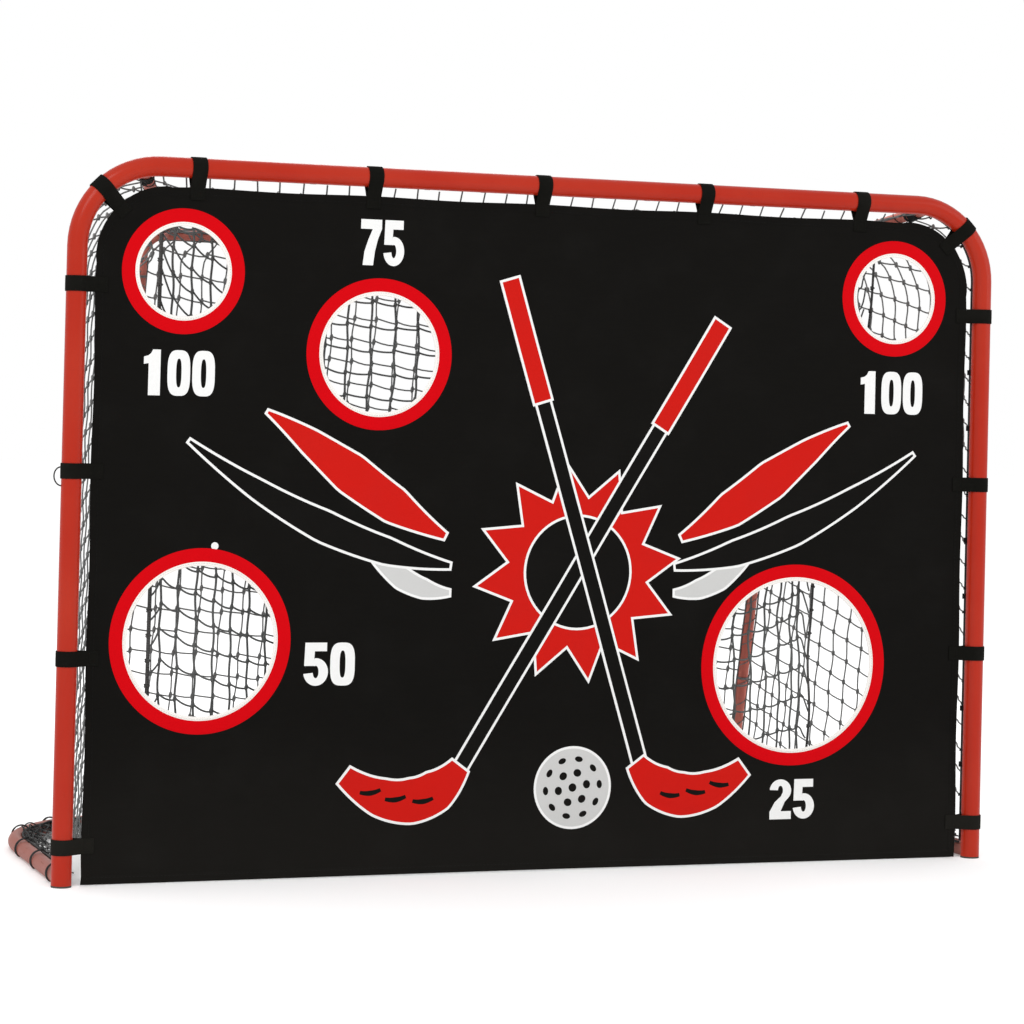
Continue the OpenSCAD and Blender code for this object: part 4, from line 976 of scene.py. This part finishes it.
def hem_seam(inset=0.0105, spacing=0.0065):
    """Stitches at an even spacing along the sheet's outline, moved in by the inset."""
    ring = edge_line + edge_inward * inset
    ring = np.concatenate([ring, ring[:1]])
    run = run_of(ring)
    at = np.arange(0, run[-1], spacing)
    starts, ends = (on_cloth(np.stack([np.interp(way, run, ring[:, k]) for k in (0, 1)], -1), -0.0011)
                    for way in (at, at + spacing * STITCH_SHARE))
    return dashes(starts, ends, 0.00035, 0.0003)


hem_piece = add_piece("sheet_hem", hem_tape(), "sheet_cloth")
hem_thread = add_piece("sheet_hem_stitches", hem_seam(), "thread_black")

for hole, (x, z, out) in HOLES.items():
    inn, wide = out - BINDING_W, out + RING_W
    front, skin, t = -SHEET_T / 2, RING_SKIN, SHEET_T / 2 + 0.0009
    ring = around_hole([[out - 0.003, front + 0.0001], [out - 0.003, front - skin * .5],
                        [out + 0.002, front - skin], [(out + wide) / 2, front - skin],
                        [wide - 0.001, front - skin], [wide, front - skin * .4], [wide, front + 0.0001]], x, z)
    tape = around_hole([[out, -t * .75], [out - 0.0006, -t], [inn + 0.0012, -t], [inn + 0.0003, -t * .7],
                        [inn, 0], [inn + 0.0003, t * .7], [inn + 0.0012, t], [out - 0.0006, t],
                        [out, t * .75]], x, z)
    count = int(2 * np.pi * out / 0.0045)
    starts, ends = (on_cloth(circle(x, z, out - 0.0024, count, share * 2 * np.pi / count), -t)
                    for share in (0, STITCH_SHARE))
    add_piece("ring_band_" + hole, ring, "ring_print", ["ring_" + hole], sharp=60)
    add_piece("hole_tape_" + hole, tape, "tape_white", ["binding_" + hole], sharp=50)
    add_piece("hole_stitches_" + hole, dashes(starts, ends, STITCH, STITCH_LIFT), "thread_white")


# ---- Print: plain numbers, two crossed sticks, a pierced ball and wings ----

def block_digit(digit):
    """Outlines of a heavy narrow figure, one unit wide and two high, outer edge first."""
    if digit == "0":
        c, s = (way(np.linspace(0, 2 * np.pi, 44)[:-1]) for way in (np.cos, np.sin))
        return [np.stack([0.5 + w * np.sign(c) * np.abs(c) ** p, 1 + h * np.sign(s) * np.abs(s) ** p], -1)
                for w, h, p in ((0.5, 1.0, 0.62), (0.118, 0.63, 0.75))]
    if digit == "1":
        return [np.array([[0.26, 0], [0.78, 0], [0.78, 2], [0.44, 2], [0.36, 1.84], [0.25, 1.74], [0.05, 1.68],
                          [0.05, 1.36], [0.26, 1.40]])]
    if digit == "7":
        return [np.array([[0.12, 0], [0.62, 0], [0.69, 0.62], [0.82, 1.14], [1.0, 1.60], [1.0, 2.0], [0, 2.0],
                          [0, 1.58], [0.56, 1.58], [0.37, 1.14], [0.19, 0.60]])]
    if digit == "5":
        outer = arc(0.5, 0.64, 0.5, 0.64, 96, -172, 34)
        inner = arc(0.5, 0.64, 0.118, 0.29, -172, 112, 26)
        return [np.concatenate([[[0.94, 2.0], [0.06, 2.0], [0.03, 0.92], [0.43, 0.92]], inner[::-1],
                                outer[::-1], [[0.43, 1.20], [0.45, 1.60], [0.94, 1.60]]])]
    outer = arc(0.5, 1.44, 0.5, 0.56, 176, -34, 30)
    inner = arc(0.5, 1.44, 0.118, 0.24, -34, 176, 20)
    return [np.concatenate([outer, [[0.70, 0.86], [0.52, 0.40], [1.0, 0.40], [1.0, 0], [0, 0], [0, 0.38],
                                    [0.24, 0.86], [0.52, 1.14]], inner[1:]])]


def number(text, x0, x1, z0, z1, gap=0.0035):
    """Figures side by side between two x and two z, with narrow gaps between them."""
    wide = (x1 - x0 - gap * (len(text) - 1)) / len(text)
    return [[loop * [wide, (z1 - z0) / 2] + [x0 + k * (wide + gap), z0] for loop in block_digit(c)]
            for k, c in enumerate(text)]


def tapered(points, widths, n=40):
    """A band along a cubic curve through four control points, its half width blended
    between the given widths along the way."""
    t = np.linspace(0, 1, n)[:, None]
    p = [np.asarray(q, float) for q in points]
    path = (1 - t) ** 3 * p[0] + 3 * t * (1 - t) ** 2 * p[1] + 3 * t * t * (1 - t) * p[2] + t ** 3 * p[3]
    off = leftward(unit(np.gradient(path, axis=0)))
    off = off * np.interp(t[:, 0], np.linspace(0, 1, len(widths)), widths)[:, None]
    return np.concatenate([path - off, (path + off)[::-1]])


def grown(loop, by):
    """An outline moved outwards by a distance, square to its own direction."""
    area = (loop[:, 0] * np.roll(loop[:, 1], -1) - np.roll(loop[:, 0], -1) * loop[:, 1]).sum()
    before, after = unit(loop - np.roll(loop, 1, 0)), unit(np.roll(loop, -1, 0) - loop)
    right = -leftward(before)
    middle = unit(right - leftward(after))
    reach = 1 / np.clip((middle * right).sum(1, keepdims=True), 0.45, 1)
    return loop + middle * reach * by * (1 if area > 0 else -1)


def moved(loop, at, turn, flip=1):
    """An outline turned by an angle in degrees about the origin, then moved."""
    c, s = np.cos(np.radians(turn)), np.sin(np.radians(turn))
    return loop * [flip, 1] @ np.array([[c, s], [-s, c]]) + at


layers = {"white": [], "red": [], "grey": [], "black": []}


def put(colour, loops, level):
    """Adds one printed shape to its colour's layer, each level a little further out."""
    top = -SHEET_T / 2 - 0.00012 - 0.00007 * level
    layers[colour].append(slab(loops, 0.016, top, -SHEET_T / 2 + 0.00015))


def outlined(colour, loop, level):
    """A filled shape inside a white outline."""
    put("white", [grown(loop, OUTLINE_W)], level)
    put(colour, [loop], level + 1)


def upright_bar(half, heights):
    """The outline of an upright bar, from the heights of the points on its sides."""
    right = np.stack([np.full(len(heights), half), heights], -1)
    return np.concatenate([right, right[::-1] * [-1, 1]])


def stick(foot, head, flip, level):
    """A floor-hockey stick: a dark shaft with a red grip and a curved red blade."""
    run = np.subtract(head, foot)
    length, turn = np.linalg.norm(run), np.degrees(np.arctan2(run[1], run[0])) - 90
    shaft = upright_bar(0.0115, np.concatenate([[0], np.linspace(0.02, length - 0.02, 20), [length]]))
    grip = upright_bar(0.0150, np.linspace(length - 0.20, length + 0.012, 8))
    blade = tapered(((0.016, 0.030), (-0.03, -0.035), (-0.10, -0.050), (-0.185, 0.018)),
                    (0.017, 0.034, 0.036, 0.030, 0.016))
    outlined("black", moved(shaft, foot, turn), level)
    outlined("red", moved(grip, foot, turn), level + 2)
    outlined("red", moved(blade, foot, 0, flip), level + 4)
    for a, b in ((-0.030, -0.004), (-0.078, 0.000), (-0.122, 0.012)):
        points = ((a, b - 0.018), (a - 0.012, b - 0.024), (a - 0.024, b - 0.025), (a - 0.036, b - 0.022))
        slot = tapered(points, (0.003, 0.0045, 0.003), 12)
        put("black", [moved(slot, foot, 0, flip)], level + 6)


for text, *place in (("100", -0.706, -0.586, 0.788, 0.862), ("75", -0.344, -0.268, 1.012, 1.088),
                     ("100", 0.577, 0.701, 0.786, 0.861), ("50", -0.425, -0.337, 0.317, 0.388),
                     ("25", 0.423, 0.508, 0.077, 0.146)):
    for figure in number(text, *place):
        put("white", figure, 0)
put("white", [circle(-0.579, 0.5455, 0.0062, 20)], 0)

# colour, level, control points from the emblem's middle line, and half widths along the way
WINGS = (("grey", 0, ((0.205, 0.470), (0.265, 0.470), (0.315, 0.505), (0.365, 0.560)),
          (0.004, 0.014, 0.017, 0.010, 0.002)),
         ("black", 2, ((0.205, 0.515), (0.35, 0.535), (0.50, 0.60), (0.655, 0.715)),
          (0.004, 0.021, 0.025, 0.016, 0.002)),
         ("red", 4, ((0.215, 0.565), (0.34, 0.625), (0.43, 0.71), (0.525, 0.765)),
          (0.005, 0.029, 0.033, 0.020, 0.002)))
for side in (-1, 1):
    for colour, level, points, widths in WINGS:
        outlined(colour, tapered(np.array(points) * [side, 1.0] + [0.030, 0], widths), level)

outlined("red", circle(*EMBLEM, np.where(np.arange(24) % 2, 0.125, 0.182), 24, 0.13), 6)
outlined("black", circle(*EMBLEM, 0.094, 60), 8)
stick((-0.165, 0.150), (0.305, 0.925), 1, 10)
stick((0.186, 0.150), (-0.075, 0.985), -1, 17)
outlined("grey", circle(*BALL, 0.066, 60), 2)
for r, n, start in ((0.0, 1, 0.0), (0.026, 6, 0.2), (0.049, 10, 0.1)):
    for a, at in zip(start + np.arange(n) * 2 * np.pi / n, circle(*BALL, r, n, start)):
        pierced = circle(0, 0, 0.0072, 16) * [1 - 0.35 * (r / 0.05) ** 2, 1]
        put("black", [moved(pierced, at, np.degrees(a))], 4)
prints = [add_piece("print_" + colour, join(parts), "print_" + colour, sharp=50)
          for colour, parts in layers.items()]


# ---- Straps ----

def strap(centre, inward, tube, gap):
    """A hook-and-loop strap: it grips the sheet between its two ends, runs to the tube as
    two tangents and goes round the tube's far side. The end at the back is the longer."""
    centre, inward, tube = (np.asarray(v, float) for v in (centre, inward, tube))
    r, reach, grip = HOOP_R + 0.0010, HOOP_R + gap, 0.0013
    turn = np.arccos(np.clip(r / reach, -1, 1))
    around = np.linspace(-turn, -2 * np.pi + turn, 44)
    front, back = np.linspace(reach + 0.020, reach + 0.001, 8), np.linspace(reach + 0.001, reach + 0.040, 12)
    path = np.concatenate([spots(front, -grip), spots(np.cos(around), np.sin(around)) * r, spots(back, grip)])
    world = centre + inward * path[:, :1] + np.array([0, 1.0, 0]) * path[:, 1:]
    loop = band(world, tube, STRAP_W, STRAP_T, 0.0001)

    # the seam's box of stitches, each place given by its way in from the tube and along it
    h, a, b = 0.0095, reach + 0.005, reach + 0.017
    corners = np.array([[a, -h], [b, -h], [b, h], [a, h], [a, -h]])
    starts, ends = [], []
    for p, q in zip(corners[:-1], corners[1:]):
        n = max(2, int(np.linalg.norm(q - p) / 0.0032))
        share = np.arange(n)[:, None] / n
        starts.append(p + (q - p) * share)
        ends.append(p + (q - p) * (share + STITCH_SHARE / n))
    starts, ends = (centre + inward * v[:, :1] + tube * v[:, 1:] - [0, grip + 0.00075, 0]
                    for v in map(np.concatenate, (starts, ends)))
    return loop, dashes(starts, ends, STITCH, STITCH_LIFT)


half = np.sqrt(0.5)
straps = {
    "top": [strap((x, 0, BAR_Z), (0, 0, -1), (1, 0, 0), TOP_GAP) for x in STRAP_TOP_X],
    "left": [strap((-POST_X, 0, z), (1, 0, 0), (0, 0, 1), SIDE_GAP) for z in STRAP_SIDE_Z],
    "right": [strap((POST_X, 0, z), (-1, 0, 0), (0, 0, 1), SIDE_GAP) for z in STRAP_SIDE_Z],
    "corner": [strap((side * (BEND_X + HOOP_BEND * half), 0, BEND_Z + HOOP_BEND * half),
                     (-side * half, 0, -half), (side * half, 0, -half), SIDE_GAP + 0.006) for side in (-1, 1)]}
for place, parts in straps.items():
    loops, seams = map(join, zip(*parts))
    add_piece("strap_loops_" + place, loops, "strap_pile", ["straps_" + place], sharp=50)
    add_piece("strap_stitches_" + place, seams, "thread_black")


# ---- Floor, light and camera ----

floor_finish = bpy.data.materials.new("floor_pale")
floor_finish.use_nodes = True
for label, value in {"Base Color": (0.90, 0.90, 0.90, 1), "Roughness": 0.9, "Specular IOR Level": 0.0,
                     "Emission Color": (1, 1, 1, 1), "Emission Strength": 0.16}.items():
    floor_finish.node_tree.nodes["Principled BSDF"].inputs[label].default_value = value
floor_mesh = bpy.data.meshes.new("floor")
floor_mesh.from_pydata([(-30, -30, 0), (30, -30, 0), (30, 30, 0), (-30, 30, 0)], [], [(0, 1, 2, 3)])
floor_mesh.materials.append(floor_finish)
floor = bpy.data.objects.new("floor", floor_mesh)
bpy.context.scene.collection.objects.link(floor)

studio = bpy.data.worlds.new("soft_studio")
studio.use_nodes = True
studio.node_tree.nodes["Background"].inputs[0].default_value = (1, 1, 1, 1)
studio.node_tree.nodes["Background"].inputs[1].default_value = 1.0
bpy.context.scene.world = studio
bpy.context.scene.view_settings.view_transform = "Standard"


def area_light(name, at, aim, size, watts):
    """A round soft light at a place, turned to what it lights."""
    light = bpy.data.lights.new(name, "AREA")
    light.shape, light.size, light.energy = "DISK", size, watts
    lamp = bpy.data.objects.new(name, light)
    lamp.location = at
    lamp.rotation_euler = (Vector(aim) - Vector(at)).to_track_quat("-Z", "Y").to_euler()
    bpy.context.scene.collection.objects.link(lamp)


area_light("key", (-2.6, -3.2, 3.6), (0, 0, 0.6), 2.4, 60)
area_light("fill", (3.4, -2.6, 2.2), (0, 0, 0.6), 2.8, 25)
area_light("rim", (0.5, 3.6, 3.2), (0, 0.2, 0.7), 2.4, 40)

yaw, pitch, roll = np.radians([19.94284, 0.72037, 1.36922])
ahead = np.array([np.sin(yaw) * np.cos(pitch), np.cos(yaw) * np.cos(pitch), np.sin(pitch)])
flat = np.array([np.cos(yaw), -np.sin(yaw), 0])
above = np.cross(flat, ahead)
lens = bpy.data.cameras.new("camera")
lens.sensor_width, lens.lens, lens.shift_y = 36.0, 104.778, -0.13867
camera = bpy.data.objects.new("camera", lens)
stand = np.eye(4)
stand[:3, 0] = np.cos(roll) * flat + np.sin(roll) * above
stand[:3, 1] = -np.sin(roll) * flat + np.cos(roll) * above
stand[:3, 2] = -ahead
stand[:3, 3] = np.array([-1.784727, -4.718955, 0.782085]) + MOUTH
camera.matrix_world = Matrix(stand.tolist())
bpy.context.scene.collection.objects.link(camera)
bpy.context.scene.camera = camera
